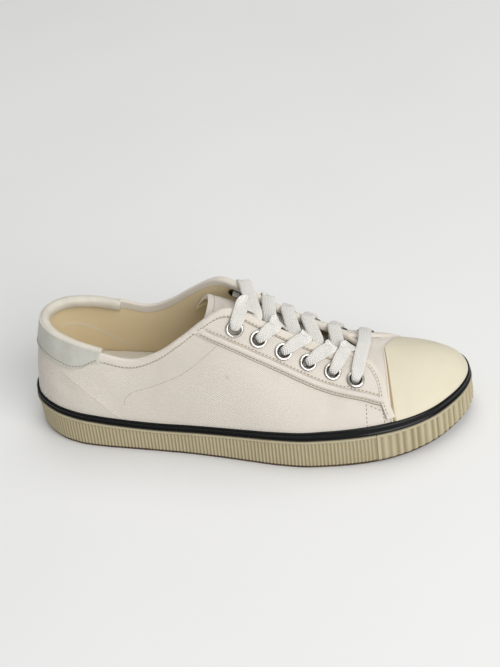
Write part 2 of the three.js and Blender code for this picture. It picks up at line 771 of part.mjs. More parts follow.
// Binding folded over the collar and throat edge
const bindingOutside = layerGap + bindingThickness;
const bindingInside = -upperWall - bindingOutside;
const bindingPairs = [
  [bindingWidth, layerGap],
  [bindingWidth, bindingOutside],
  [-gap, bindingOutside],
  [-gap - 2 * bindingThickness, -upperWall / 2],
  [-gap, bindingInside],
  [bindingWidth, bindingInside],
  [bindingWidth, -upperWall - layerGap],
  [-gap, -upperWall - layerGap],
  [-gap, layerGap],
];
const bindingEnd = 16.9; // where it meets the heel patch
for (const side of ["lateral", "medial"]) {
  const half = placesBetween(place.lace5, bindingEnd, 2);
  const places = half.map((w) => (side === "lateral" ? w : fullRing - w));
  addPiece("binding_" + side, sweep(places, (w) => edgeProfile(w, bindingPairs)), canvas);
}

// Heel patch: a leather sheet that ends in a padded roll over the collar edge
const patchStart = 17.02;
const patchRows = [
  { at: 17.02, drop: 0.34 },
  { at: 17.25, drop: 0.48 },
  { at: 17.6, drop: 0.76 },
  { at: 18.1, drop: 0.92 },
  { at: 18.6, drop: 0.91 },
  { at: 19.2, drop: 0.89 },
  { at: 20.1, drop: 0.9 },
  { at: 21, drop: 1 },
];
function patchDepth(w) {
  const k = Math.max(fromTip(w), patchStart);
  const i = Math.max(1, patchRows.findIndex((row) => row.at >= k - 1e-9));
  const [a, b] = [patchRows[i - 1], patchRows[i]];
  return patchDrop * lerp(a.drop, b.drop, (k - a.at) / (b.at - a.at));
}
const patchPlaces = [];
patchRows.forEach((row, i) => {
  patchPlaces.push(row.at);
  if (i > 1 && i < patchRows.length - 1) patchPlaces.push((row.at + patchRows[i + 1].at) / 2);
});
const patchRing = patchPlaces.concat(patchPlaces.slice(0, -1).reverse().map((w) => fullRing - w));
addPiece(
  "heel_patch",
  sweep(patchRing, (w) => {
    const outside = layerGap + patchThickness;
    const inside = -upperWall - layerGap;
    return edgeProfile(w, [
      [patchDepth(w), layerGap],
      [patchDepth(w), outside],
      [rollDepth, outside],
      [rollDepth * 0.5, outside + rollBulge * 0.5],
      [0, outside + rollBulge * 0.2],
      [-patchThickness * 2, -upperWall / 2],
      [0, inside - patchThickness - rollBulge * 0.4],
      [rollDepth * 0.6, inside - patchThickness - rollBulge * 0.6],
      [rollDepth, inside - patchThickness],
      [rollDepth, inside],
      [-gap, inside],
      [-gap, layerGap],
    ]);
  }),
  greyLeather,
);

const tongueTop = -upperWall - layerGap;

// Tongue: lies under the throat, arched from side to side. Its flanks are tucked under the upper,
// and a channel for the lace is left under the throat edge.
const tongueRows = [5.6, 6, 6.5, 7, 8, 9, 10, 11, 12, 12.6];
const tongueFlanks = [1, 0.5, 0];
const tongueArch = [0.25, 0.5, 0.75];
function tongueRow(k, depth) {
  const point = (w, t) => fromEdge(w, t * tongueFlank, tongueTop - laceChannel * (1 - t) - depth);
  const left = tongueFlanks.map((t) => point(k, t));
  const right = tongueFlanks.map((t) => point(fullRing - k, t)).reverse();
  const [a, b] = [left.at(-1), right[0]];
  const handle = a.distanceTo(b) * tongueHump;
  const rise = (w) => fromEdge(w, 0, 0).sub(fromEdge(w, 2, 0)).normalize();
  const curve = new THREE.CubicBezierCurve3(
    a,
    a.clone().addScaledVector(rise(k), handle),
    b.clone().addScaledVector(rise(fullRing - k), handle),
    b,
  );
  return [...left, ...tongueArch.map((t) => curve.getPoint(t)), ...right];
}
addPiece(
  "tongue",
  skin(
    tongueRows.map((k) => tongueRow(k, 0)),
    tongueRows.map((k) => tongueRow(k, tongueThickness)),
  ),
  canvas,
);

// Eyelets: a rolled rim outside and a barrel through the wall
const eyeletSeat = layerGap + overlayThickness + layerGap;
const eyeletSides = 8;
for (const eyelet of eyelets) {
  const hole = eyeletHole / 2;
  const profile = [
    [hole, -upperWall],
    [barrel, -upperWall],
    [barrel, eyeletSeat],
    [eyeletOuter / 2, eyeletSeat],
    [eyeletOuter / 2 - 1.2, eyeletSeat + eyeletRim],
    [hole, eyeletSeat + eyeletRim / 2],
    [hole, -upperWall],
  ].map(([radius, height]) => new THREE.Vector2(radius, height));
  const ring = new THREE.LatheGeometry(profile, eyeletSides);
  addPiece("eyelet_" + eyelet.name, solidOf(alongEyelet(ring, eyelet)), nickel);
}

// Lace: a flat ribbon through route points, laid flat on the side directions given with them
function ribbon(route) {
  const curve = new THREE.CatmullRomCurve3(route.map((stop) => stop.at), false, "centripetal");
  const steps = 2 * (route.length - 1);
  const rows = [];
  for (let i = 0; i <= steps; i += 1) {
    const t = i / steps;
    const span = Math.min(Math.floor(t * (route.length - 1)), route.length - 2);
    const mix = t * (route.length - 1) - span;
    const out = route[span].out.clone().lerp(route[span + 1].out, mix).normalize();
    const along = curve.getTangent(t);
    const across = along.clone().cross(out).normalize().multiplyScalar(laceWidth / 2);
    const half = out.clone().cross(across).cross(across).normalize();
    const up = across.clone().cross(along).normalize().multiplyScalar(laceThickness / 2);
    if (up.dot(out) < 0) up.negate();
    const at = curve.getPoint(t);
    const corner = (a, b) => at.clone().addScaledVector(across, a).addScaledVector(up, b);
    rows.push([corner(-1, -1), corner(1, -1), corner(1, 1), corner(-1, 1), half]);
  }
  const body = new Body();
  const loops = rows.map((row) => row.slice(0, 4));
  body.sheet(loops.map((row) => row.concat([row[0]])));
  const [first, end] = [loops[0], loops[loops.length - 1]];
  body.quad(first[0], first[3], first[2], first[1]);
  body.quad(end[0], end[1], end[2], end[3]);
  return body.solid();
}

const laceLift = eyeletSeat + eyeletRim + gap + laceThickness / 2;
const stop = (w, distance, offset) => ({
  at: fromEdge(w, distance, offset),
  out: faceNormal(w, clamp(1 - distance / sectionAt(w).size, 0, 1)),
});
const sideOf = (row, mirrored) => (mirrored ? fullRing - row : row);

// A strand rises from its eyelet, crosses the edge and the throat and dips inside the other edge
function strand(i, mirrored) {
  const eyelet = eyeletRows[i];
  const next = eyeletRows[i + 1];
  const start = sideOf(eyelet.place, mirrored);
  const edge = sideOf(lerp(eyelet.place, next.place, 0.22), mirrored);
  const farPlace = Math.max(next.place, place.slotFront + 0.78);
  const far = sideOf(lerp(farPlace, eyelet.place, 0.4), !mirrored);
  const near = stop(edge, 0, laceLift);
  const dip = stop(far, -5.6, 0.4);
  const end = stop(far, -4.4, -0.8);
  const middle = {
    at: near.at.clone().lerp(dip.at, 0.5).add(vec(0, 0, 1.3)),
    out: near.out.clone().add(dip.out).normalize(),
  };
  return ribbon([
    stop(start, eyelet.distance, laceLift + 0.3),
    stop(lerp(start, edge, 0.5), eyelet.distance * 0.5, laceLift + 0.2),
    near,
    middle,
    dip,
    end,
  ]);
}
for (let i = 0; i < eyeletRows.length - 1; i += 1)
  addPiece("lace_crossing_" + (i + 1), strand(i, false).add(strand(i, true)), cotton);

const lastRow = eyeletRows[eyeletRows.length - 1];
const barStops = [1, 0.66, 0.33, 0].map((t) =>
  stop(lastRow.place, t * lastRow.distance, laceLift + 0.3),
);
const barReturn = [0.33, 0.66, 1].map((t) =>
  stop(fullRing - lastRow.place, t * lastRow.distance, laceLift + 0.3),
);
addPiece("lace_bar", ribbon([...barStops, ...barReturn]), cotton);

// The origin moves to the floor under the middle of the whole shoe
const whole = new THREE.Box3().setFromObject(group);
const middle = whole.getCenter(vec(0, 0, 0));
for (const { geometry } of group.children) geometry.translate(-middle.x, -middle.y, -whole.min.z);

export default group;
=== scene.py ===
import math
import bpy
import bmesh
import numpy as np
from mathutils import Matrix, Vector


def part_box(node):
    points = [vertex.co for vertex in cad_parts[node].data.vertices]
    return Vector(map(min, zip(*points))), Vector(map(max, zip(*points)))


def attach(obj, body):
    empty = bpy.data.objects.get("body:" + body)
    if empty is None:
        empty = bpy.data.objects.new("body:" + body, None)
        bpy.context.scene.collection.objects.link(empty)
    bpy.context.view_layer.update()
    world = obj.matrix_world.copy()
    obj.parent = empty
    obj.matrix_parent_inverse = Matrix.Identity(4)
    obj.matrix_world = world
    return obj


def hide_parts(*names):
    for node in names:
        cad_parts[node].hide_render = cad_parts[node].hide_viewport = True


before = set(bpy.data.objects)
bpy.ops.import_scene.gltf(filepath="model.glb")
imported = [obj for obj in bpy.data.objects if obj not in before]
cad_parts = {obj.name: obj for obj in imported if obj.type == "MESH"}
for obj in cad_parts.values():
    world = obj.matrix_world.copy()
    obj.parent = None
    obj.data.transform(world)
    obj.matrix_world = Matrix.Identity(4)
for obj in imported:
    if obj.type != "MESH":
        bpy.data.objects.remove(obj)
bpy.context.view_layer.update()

# A low canvas sneaker, right foot. All surface sizes are millimetres, turned to metres in makePiece.

# The last: ring places and heights
shoe = {
    "length": 284.5, "ball": 103, "toe": 48.5, "instep": 94.5, "dip": 66, "heel": 80.5,
    "toeSpring": 5, "springStart": 0.66, "wall": 20.3, "wallThickness": 2.7, "gap": 0.3,
    "bandHeight": 4.8, "canvas": 1.6, "capDrop": 8,
    # the wall tucks in under the heel, and the sole inside it is thinner from the ball on
    "tuck": 1.6, "tuckAt": (0.36, 0.49), "sole": 12, "soleFall": 3, "soleFallAt": (0.25, 0.6),
    "soleInset": 1.4,
}
zones = {
    "toe": (shoe["toe"], shoe["instep"]),
    "collar": (shoe["dip"], shoe["instep"]),
    "heel": (shoe["dip"], shoe["heel"]),
}
# zone, x, lateral, medial, rise, topX lateral, medial, topY lateral, medial, lean, up, drop, reach
sections = [
    ("toe", 1.0, 0.146, 0.146, 0, 0.811, 0.811, 0.08, 0.08, -20, 0.3, 8, 0.48),
    ("toe", 0.985, -0.02, 0.3, 0, 0.811, 0.811, 0.08, 0.08, -22, 0.28, 8, 0.47),
    ("toe", 0.945, -0.19, 0.405, 0, 0.811, 0.811, 0.08, 0.08, -28, 0.24, 8, 0.45),
    ("toe", 0.902, -0.302, 0.462, 0, 0.811, 0.811, 0.08, 0.08, -33, 0.22, 8, 0.43),
    ("toe", 0.851, -0.386, 0.493, 0, 0.811, 0.811, 0.08, 0.08, -38, 0.2, 8, 0.42),
    ("toe", 0.797, -0.44, 0.504, 0.05, 0.788, 0.786, 0.075, 0.075, -38, 0.2, 8, 0.42),
    ("toe", 0.743, -0.472, 0.503, 0.12, 0.758, 0.758, 0.05, 0.05, -37, 0.2, 8, 0.42),
    ("toe", 0.697, -0.489, 0.488, 0.2, 0.72, 0.712, -0.07, 0.12, -34, 0.22, 22, 0.38),
    ("toe", 0.645, -0.5, 0.459, 0.38, 0.668, 0.648, -0.09, 0.115, -26, 0.26, 25, 0.36),
    ("toe", 0.582, -0.488, 0.416, 0.58, 0.611, 0.59, -0.11, 0.112, -17, 0.3, 30, 0.34),
    ("toe", 0.522, -0.463, 0.371, 0.78, 0.56, 0.54, -0.122, 0.12, -10, 0.34, 36, 0.33),
    ("toe", 0.469, -0.44, 0.338, 0.94, 0.524, 0.502, -0.132, 0.136, -6, 0.36, 44, 0.33),
    ("toe", 0.424, -0.423, 0.32, 1.01, 0.486, 0.462, -0.158, 0.17, -4, 0.36, 56, 0.33),
    ("collar", 0.38, -0.408, 0.309, 0.86, 0.442, 0.422, -0.208, 0.216, -3, 0.36, 68, 0.33),
    ("collar", 0.336, -0.398, 0.303, 0.54, 0.392, 0.376, -0.25, 0.248, -3, 0.36, 75, 0.33),
    ("collar", 0.287, -0.387, 0.305, 0.2, 0.338, 0.324, -0.272, 0.268, -3, 0.36, 80, 0.33),
    ("collar", 0.234, -0.377, 0.313, 0.02, 0.278, 0.268, -0.282, 0.277, -2, 0.36, 82, 0.33),
    ("heel", 0.182, -0.366, 0.318, 0.32, 0.212, 0.207, -0.278, 0.273, 0, 0.36, 80, 0.33),
    ("heel", 0.125, -0.342, 0.315, 0.64, 0.146, 0.144, -0.25, 0.252, 1, 0.36, 78, 0.33),
    ("heel", 0.068, -0.283, 0.281, 0.86, 0.094, 0.092, -0.188, 0.194, 0, 0.36, 76, 0.33),
    ("heel", 0.02, -0.167, 0.177, 0.97, 0.063, 0.062, -0.094, 0.102, -4, 0.36, 74, 0.33),
    ("heel", 0, 0.005, 0.005, 1, 0.053, 0.053, 0.004, 0.004, -6, 0.36, 74, 0.33),
]
wallProfile = [(0, 1.16), (0.15, 0.98), (0.3, 0.84), (0.45, 0.9), (0.6, 1), (0.8, 1.02), (1, 0.9)]
halfRing = len(sections) - 1
fullRing = 2 * halfRing
capRear, slotFront, lace5 = 4, 6, 7  # rows of the table above
bezierSteps = 24
normalStep = 0.02


# Catmull-Rom curve between b and c, with a and d beyond them
def cubic(a, b, c, d, t):
    return 0.5 * (2 * b + (c - a) * t + (2 * a - 5 * b + 4 * c - d) * t**2
                  + (3 * b - a - 3 * c + d) * t**3)


# One column of the table, down the lateral side and back up the medial side
def column(lateral, medial=None, scale=1.0, less=0.0):
    medial = lateral if medial is None else medial
    outer = [(row[lateral] - less) * scale for row in sections]
    inner = [(row[medial] - less) * scale for row in sections]
    return np.array(outer + inner[1:-1][::-1], dtype=float)


table = {
    "x": column(1, None, shoe["length"], 0.5),
    "y": column(2, 3, shoe["ball"]),
    "topX": column(5, 6, shoe["length"], 0.5),
    "topY": column(7, 8, shoe["ball"]),
    "lean": column(9), "up": column(10), "drop": column(11), "reach": column(12),
}
risen = [zones[row[0]][0] + (zones[row[0]][1] - zones[row[0]][0]) * row[4] for row in sections]
table["topZ"] = np.array(risen + risen[1:-1][::-1])


# Catmull-Rom curve through values that run round the ring
def closedSpline(values, w):
    i = np.floor(w).astype(int)
    at = lambda k: values[np.mod(k, fullRing)]
    return cubic(at(i - 1), at(i), at(i + 1), at(i + 2), w - i)


# Catmull-Rom curve between two rows, with straight ends
def openSpline(values, w, first, last):
    w = np.clip(w, first, last)
    i = np.minimum(np.floor(w).astype(int), last - 1)
    b, c = values[i], values[i + 1]
    a = np.where(i - 1 < first, 2 * b - c, values[np.maximum(i - 1, 0)])
    d = np.where(i + 2 > last, 2 * c - b, values[np.minimum(i + 2, len(values) - 1)])
    return cubic(a, b, c, d, w - i)


# Curve through the rows of a short table, read at a row number that may be fractional
def alongRows(rows, at):
    rows = np.asarray(rows, dtype=float)
    return openSpline(rows, np.asarray(at, dtype=float), 0, len(rows) - 1)


# S-curve from 0 to 1 between two values
def smoothstep(value, low, high):
    t = np.clip((value - low) / (high - low), 0, 1)
    return t * t * (3 - 2 * t)


# Sole outline at a ring place, moved in by an inset, with its outward direction
def soleEdge(w, inset=0.0):
    step = 1e-3
    x, y = closedSpline(table["x"], w), closedSpline(table["y"], w)
    dx = closedSpline(table["x"], w + step) - closedSpline(table["x"], w - step)
    dy = closedSpline(table["y"], w + step) - closedSpline(table["y"], w - step)
    size = np.hypot(dx, dy)
    outX, outY = -dy / size, dx / size
    return x - outX * inset, y - outY * inset, outX, outY


# Toe spring: rises with the square of the way past its start
def lift(x):
    start = shoe["springStart"]
    past = np.maximum(0, (x / shoe["length"] + 0.5 - start) / (1 - start))
    return shoe["toeSpring"] * past**2


# Height of the wall's top: a curve through wallProfile, times the wall's height, plus the toe spring
def wallTop(x):
    at = np.clip(x / shoe["length"] + 0.5, 0, 1)
    places = np.array([p[0] for p in wallProfile])
    heights = np.array([p[1] for p in wallProfile])
    last = len(places) - 1
    i = np.clip(np.searchsorted(places, at, side="right") - 1, 0, last - 1)
    h = lambda k: heights[np.clip(k, 0, last)]
    t = (at - places[i]) / (places[i + 1] - places[i])
    return shoe["wall"] * cubic(h(i - 1), h(i), h(i + 1), h(i + 2), t) + lift(x)


# How far the wall's foot is drawn in: an S-curve towards the back of the heel
def tuckAt(x):
    return shoe["tuck"] * smoothstep(-x / shoe["length"], *shoe["tuckAt"])


# Top of the outsole inside the wall: thicker under the heel, S-curve down to the ball, plus the spring
def soleTop(x):
    along = x / shoe["length"] + 0.5
    return shoe["sole"] - shoe["soleFall"] * smoothstep(along, *shoe["soleFallAt"]) + lift(x)


# Ring place counted from the toe, the same on both sides
def fromTip(w):
    w = np.mod(w, fullRing)
    return np.where(w > halfRing, fullRing - w, w)


# Top line: one point over the cap, the crown as far as the slot, then the two free edges
def topPoint(w):
    k, at = fromTip(w), np.mod(w, fullRing)
    out = []
    for name in ("topX", "topY", "topZ"):
        values = table[name]
        crown = openSpline(values, k, capRear, slotFront)
        edge = openSpline(values, at, slotFront, fullRing - slotFront)
        out.append(np.where(k <= capRear, values[capRear], np.where(k < slotFront, crown, edge)))
    return np.stack(out, -1)


# A Bezier line from the foot of the wall to the top line, and its running length
def sectionAt(w):
    w = np.asarray(w, dtype=float)
    x, y, nx, ny = soleEdge(w, shoe["wallThickness"] + shoe["gap"])
    footZ = wallTop(soleEdge(w)[0]) + shoe["gap"] + shoe["bandHeight"] / 2
    foot = np.stack([x, y, footZ], -1)
    top = topPoint(w)
    chord = np.linalg.norm(top - foot, axis=-1)
    across = foot[..., :2] - top[..., :2]
    across = across / np.linalg.norm(across, axis=-1, keepdims=True)
    past = fromTip(w) - slotFront
    crownDrop = np.arctan(np.tan(np.radians(shoe["capDrop"])) * across[..., 0])
    firstDrop = np.radians(sections[lace5][11])
    between = crownDrop + (firstDrop - crownDrop) * past
    sideDrop = np.radians(closedSpline(table["drop"], w))
    drop = np.where(past <= 0, crownDrop, np.where(past < 1, between, sideDrop))
    lean = np.radians(closedSpline(table["lean"], w))
    up, reach = chord * closedSpline(table["up"], w), chord * closedSpline(table["reach"], w)
    rise = np.stack([nx * np.sin(lean), ny * np.sin(lean), np.cos(lean)], -1)
    fall = np.stack([across[..., 0] * np.cos(drop), across[..., 1] * np.cos(drop), -np.sin(drop)], -1)
    control = np.stack([foot, foot + rise * up[..., None], top + fall * reach[..., None], top], -2)
    line = np.einsum("tk,...kc->...tc", bezier(np.linspace(0, 1, bezierSteps + 1)), control)
    pieces = np.linalg.norm(np.diff(line, axis=-2), axis=-1)
    lengths = np.concatenate([np.zeros(w.shape + (1,)), np.cumsum(pieces, -1)], -1)
    return {"control": control, "lengths": lengths, "size": lengths[..., -1],
            "foot": foot, "out": np.stack([nx, ny], -1)}


# Weights of the four control points of a Bezier line
def bezier(t):
    return np.stack([(1 - t) ** 3, 3 * (1 - t) ** 2 * t, 3 * (1 - t) * t**2, t**3], -1)


# Point at ring places w (N) and shares s (N, M) of the line's length
def facePoint(w, s):
    data = sectionAt(w)
    lengths = data["lengths"]
    target = np.clip(s, 0, 1) * data["size"][:, None]
    i = np.clip((lengths[:, None, 1:] < target[..., None]).sum(-1), 0, bezierSteps - 1)
    a, b = np.take_along_axis(lengths, i, 1), np.take_along_axis(lengths, i + 1, 1)
    t = (i + (target - a) / (b - a)) / bezierSteps
    return np.einsum("nmk,nkc->nmc", bezier(t), data["control"])


# Vectors made one long
def unit(v):
    return v / np.maximum(np.linalg.norm(v, axis=-1, keepdims=True), 1e-9)


# Cross product of the steps up the face and along the ring
def sideNormal(w, s):
    low = np.minimum(s, 1 - normalStep)
    higher, lower = np.minimum(1, low + normalStep), np.maximum(0, low - normalStep)
    up = facePoint(w, higher) - facePoint(w, lower)
    along = facePoint(w + normalStep, low) - facePoint(w - normalStep, low)
    return unit(np.cross(up, along))


# Outward normal; on the crown it is the mean of both sides, so they meet without a step
def faceNormal(w, s):
    k = fromTip(w)
    at, one = np.maximum(k, capRear), np.ones((len(w), 1))
    crown = unit(sideNormal(at, one) + sideNormal(fullRing - at, one))
    onCrown = (s >= 1) & (k <= slotFront)[:, None]
    return np.where(onCrown[..., None], crown, sideNormal(w, s))


# Point of the face moved out along its normal
def onFace(w, s, offset=0.0):
    return facePoint(w, s) + faceNormal(w, s) * np.broadcast_to(offset, s.shape)[..., None]


# Points a distance below the top edge (above it when negative), for arrays of any one shape
def atEdge(w, distance, offset=0.0):
    shape = np.broadcast(w, distance, offset).shape
    w, distance, offset = (np.broadcast_to(v, shape).ravel().astype(float)
                           for v in (w, distance, offset))
    size = sectionAt(w)["size"]
    p = onFace(w, (1 - np.maximum(distance, 0) / size)[:, None], offset[:, None])[:, 0]
    one = np.ones((len(w), 1))
    up = unit(facePoint(w, one) - facePoint(w, one - normalStep))[:, 0]
    return (p + up * np.maximum(-distance, 0)[:, None]).reshape(shape + (3,))


# all from the toe on: the near side sinks more along the collar, the far side along the throat
sink = {"start": (6.2, 7.5), "near": 1.0, "collar": 1.4, "collarAt": (12.2, 13.8),
        "far": 1.4, "farEnd": (12.5, 14.2)}


# How far the cloth's top edge lies under the solid's line, so that the rolled tape ends on it
def sinkAt(w):
    k, lateral = fromTip(w), np.mod(w, fullRing) < halfRing
    near = sink["near"] + sink["collar"] * smoothstep(k, *sink["collarAt"])
    far = sink["far"] * (1 - smoothstep(k, *sink["farEnd"]))
    return np.where(lateral, near, far) * smoothstep(k, *sink["start"])


# Outward direction of the face at a distance below the top edge
def edgeNormal(w, distance):
    shape = np.broadcast(w, distance).shape
    w, distance = (np.broadcast_to(v, shape).ravel().astype(float) for v in (w, distance))
    s = np.clip(1 - distance / sectionAt(w)["size"], 0, 1)[:, None]
    return faceNormal(w, s)[:, 0].reshape(shape + (3,))


# Point of the face at a height, found by halving; below the foot the wall is upright
def atHeight(w, z, offset=0.0):
    z = np.asarray(z, dtype=float)
    offset = np.broadcast_to(offset, z.shape)
    low, high = np.zeros(z.shape), np.full(z.shape, 0.6)
    for _ in range(22):
        mid = (low + high) / 2
        under = facePoint(w, mid)[..., 2] < z
        low, high = np.where(under, mid, low), np.where(under, high, mid)
    data = sectionAt(w)
    foot, out = data["foot"][:, None], data["out"][:, None]
    upright = np.concatenate([foot[..., :2] + out * offset[..., None], z[..., None]], -1)
    return np.where((z > foot[..., 2])[..., None], onFace(w, low, offset), upright)


# Mesh builders: each gives points, quads and triangles with a cloth map in millimetres

# Corner numbers of a grid's squares; a closed direction wraps round to its start
def gridQuads(rows, cols, closedRows=False, closedCols=False):
    r = np.arange(rows if closedRows else rows - 1)[:, None]
    c = np.arange(cols if closedCols else cols - 1)[None]
    r2, c2 = (r + 1) % rows, (c + 1) % cols
    return np.stack([r * cols + c, r * cols + c2, r2 * cols + c2, r2 * cols + c], -1)


# Cloth map of the same squares, corner by corner
def gridCorners(uv):
    return np.stack([uv[:-1, :-1], uv[:-1, 1:], uv[1:, 1:], uv[1:, :-1]], 2)


# One open or closed sheet of squares
def sheet(grid, uv, closedRows=False):
    quads = gridQuads(*grid.shape[:2], closedRows)
    return {"points": grid.reshape(-1, 3), "quads": quads.reshape(-1, 4),
            "quadUv": gridCorners(uv).reshape(-1, 4, 2)}


# Two faces of one thin wall, joined round every open edge and every dropped patch
def slab(outer, inner, uv, closed=False, keep=None, noRim=None, values=None):
    rows, cols = outer.shape[:2]
    corner, cornerUv = gridQuads(rows, cols, closed), gridCorners(uv)
    keep = np.ones(corner.shape[:2], bool) if keep is None else keep
    count = rows * cols
    quads = [corner[keep], corner[keep][:, ::-1] + count]
    quadUv = [cornerUv[keep], cornerUv[keep][:, ::-1]]
    flatUv = uv[:rows, :cols].reshape(-1, 2)
    side = np.pad(keep, ((0, 0), (1, 1)))
    openSide = side[:, :-1] != side[:, 1:]
    if noRim is not None:
        openSide[:, -1] &= ~noRim[:len(keep)]
    i, j = np.nonzero(openSide)
    ends = [(i * cols + j, ((i + 1) % rows) * cols + j)]
    if closed:
        other = np.roll(keep, 1, axis=0) != keep
    else:
        tall = np.pad(keep, ((1, 1), (0, 0)))
        other = tall[:-1] != tall[1:]
    i, j = np.nonzero(other)
    ends.append((i * cols + j, i * cols + j + 1))
    for a, b in ends:
        quads.append(np.stack([a, b, b + count, a + count], -1))
        quadUv.append(np.stack([flatUv[a], flatUv[b], flatUv[b], flatUv[a]], 1))
    return {
        "points": np.concatenate([outer.reshape(-1, 3), inner.reshape(-1, 3)]),
        "quads": np.concatenate(quads), "quadUv": np.concatenate(quadUv),
        "values": {name: np.tile(value.ravel(), 2) for name, value in (values or {}).items()},
    }


# A closed profile carried along a path (N, P, 3), with its ends closed by fans
def tube(rows, uv, closed=False):
    count, around = rows.shape[:2]
    part = {"points": rows.reshape(-1, 3),
            "quads": gridQuads(count, around, closed, True).reshape(-1, 4),
            "quadUv": gridCorners(uv).reshape(-1, 4, 2)}
    if not closed:
        hubs = rows[[0, -1]].mean(axis=1)
        base = count * around
        part["points"] = np.concatenate([part["points"], hubs])
        j = np.arange(around)
        tris, triUv = [], []
        for end, start in ((0, 0), (1, (count - 1) * around)):
            hub = np.full(around, base + end)
            tris.append(np.stack([hub, start + j, start + (j + 1) % around], -1))
            edge = uv[0 if end == 0 else -1]
            middle = np.broadcast_to(edge.mean(0), (around, 2))
            triUv.append(np.stack([middle, edge[:-1], edge[1:]], 1))
        part["tris"], part["triUv"] = np.concatenate(tris), np.concatenate(triUv)
    return part


# Cloth map from real lengths along both directions of a grid, in millimetres
def lengthMap(grid, closedRows=False, closedCols=False, rowAt=0.5):
    g = grid
    if closedRows:
        g = np.concatenate([g, g[:1]], 0)
    if closedCols:
        g = np.concatenate([g, g[:, :1]], 1)
    middle = g[:, int(rowAt * (g.shape[1] - 1))]
    u = np.concatenate([[0], np.cumsum(np.linalg.norm(np.diff(middle, axis=0), axis=-1))])
    v = np.concatenate([np.zeros((g.shape[0], 1)),
                        np.cumsum(np.linalg.norm(np.diff(g, axis=1), axis=-1), 1)], 1)
    return np.stack([np.broadcast_to(u[:, None], v.shape), v], -1)


# The pack moves the whole shoe so that its box stands over the origin; the outsole shows by how much
def findShift():
    w = np.linspace(0, fullRing, 2000)
    x = soleEdge(w)[0]
    x, y = soleEdge(w, shoe["soleInset"] + tuckAt(x))[:2]
    low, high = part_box("outsole")
    middle = (low + high) * 500
    return np.array([middle[0] - (x.min() + x.max()) / 2, middle[1] - (y.min() + y.max()) / 2, 0])


shift = findShift()
print("shift of the pack, mm:", shift.round(3))


# Joins parts into one mesh in metres; doubles are merged and each closed shell faces outwards
def makePiece(name, parts, material, nodes=(), angle=50):
    points, quads, quadUv, tris, triUv, names = [], [], [], [], [], set()
    start = 0
    for part in parts:
        points.append(part["points"])
        quads.append(part["quads"] + start)
        quadUv.append(part["quadUv"])
        if "tris" in part:
            tris.append(part["tris"] + start)
            triUv.append(part["triUv"])
        names |= set(part.get("values", {}))
        start += len(part["points"])
    co = ((np.concatenate(points) + shift) * 0.001).astype(np.float32)
    quad = np.concatenate(quads)
    tri = np.concatenate(tris) if tris else np.zeros((0, 3), int)
    mesh = bpy.data.meshes.new(name)
    mesh.vertices.add(len(co))
    mesh.vertices.foreach_set("co", co.ravel())
    loops = np.concatenate([quad.ravel(), tri.ravel()])
    mesh.loops.add(len(loops))
    mesh.loops.foreach_set("vertex_index", loops.astype(np.int32))
    totals = np.concatenate([np.full(len(quad), 4), np.full(len(tri), 3)])
    mesh.polygons.add(len(totals))
    mesh.polygons.foreach_set("loop_start", (np.cumsum(totals) - totals).astype(np.int32))
    cloth = mesh.uv_layers.new(name="cloth")
    maps = [np.concatenate(quadUv).reshape(-1, 2)]
    if len(tri):
        maps.append(np.concatenate(triUv).reshape(-1, 2))
    cloth.data.foreach_set("uv", np.concatenate(maps).astype(np.float32).ravel())
    for key in names:
        layer = mesh.attributes.new(key, "FLOAT", "POINT")
        filled = [part.get("values", {}).get(key, np.zeros(len(part["points"]))) for part in parts]
        layer.data.foreach_set("value", np.concatenate(filled).astype(np.float32))
    mesh.update(calc_edges=True)
    mesh.validate()
    shell = bmesh.new()
    shell.from_mesh(mesh)
    bmesh.ops.remove_doubles(shell, verts=shell.verts, dist=4e-6)
    bmesh.ops.recalc_face_normals(shell, faces=shell.faces)
    shell.to_mesh(mesh)
    shell.free()
    mesh.shade_smooth()
    mesh.set_sharp_from_angle(angle=math.radians(angle))
    mesh.materials.append(material)
    piece = bpy.data.objects.new(name, mesh)
    bpy.context.scene.collection.objects.link(piece)
    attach(piece, "root")
    if nodes:
        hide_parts(*nodes)
    print("piece", name, len(mesh.polygons), "faces")
    return piece


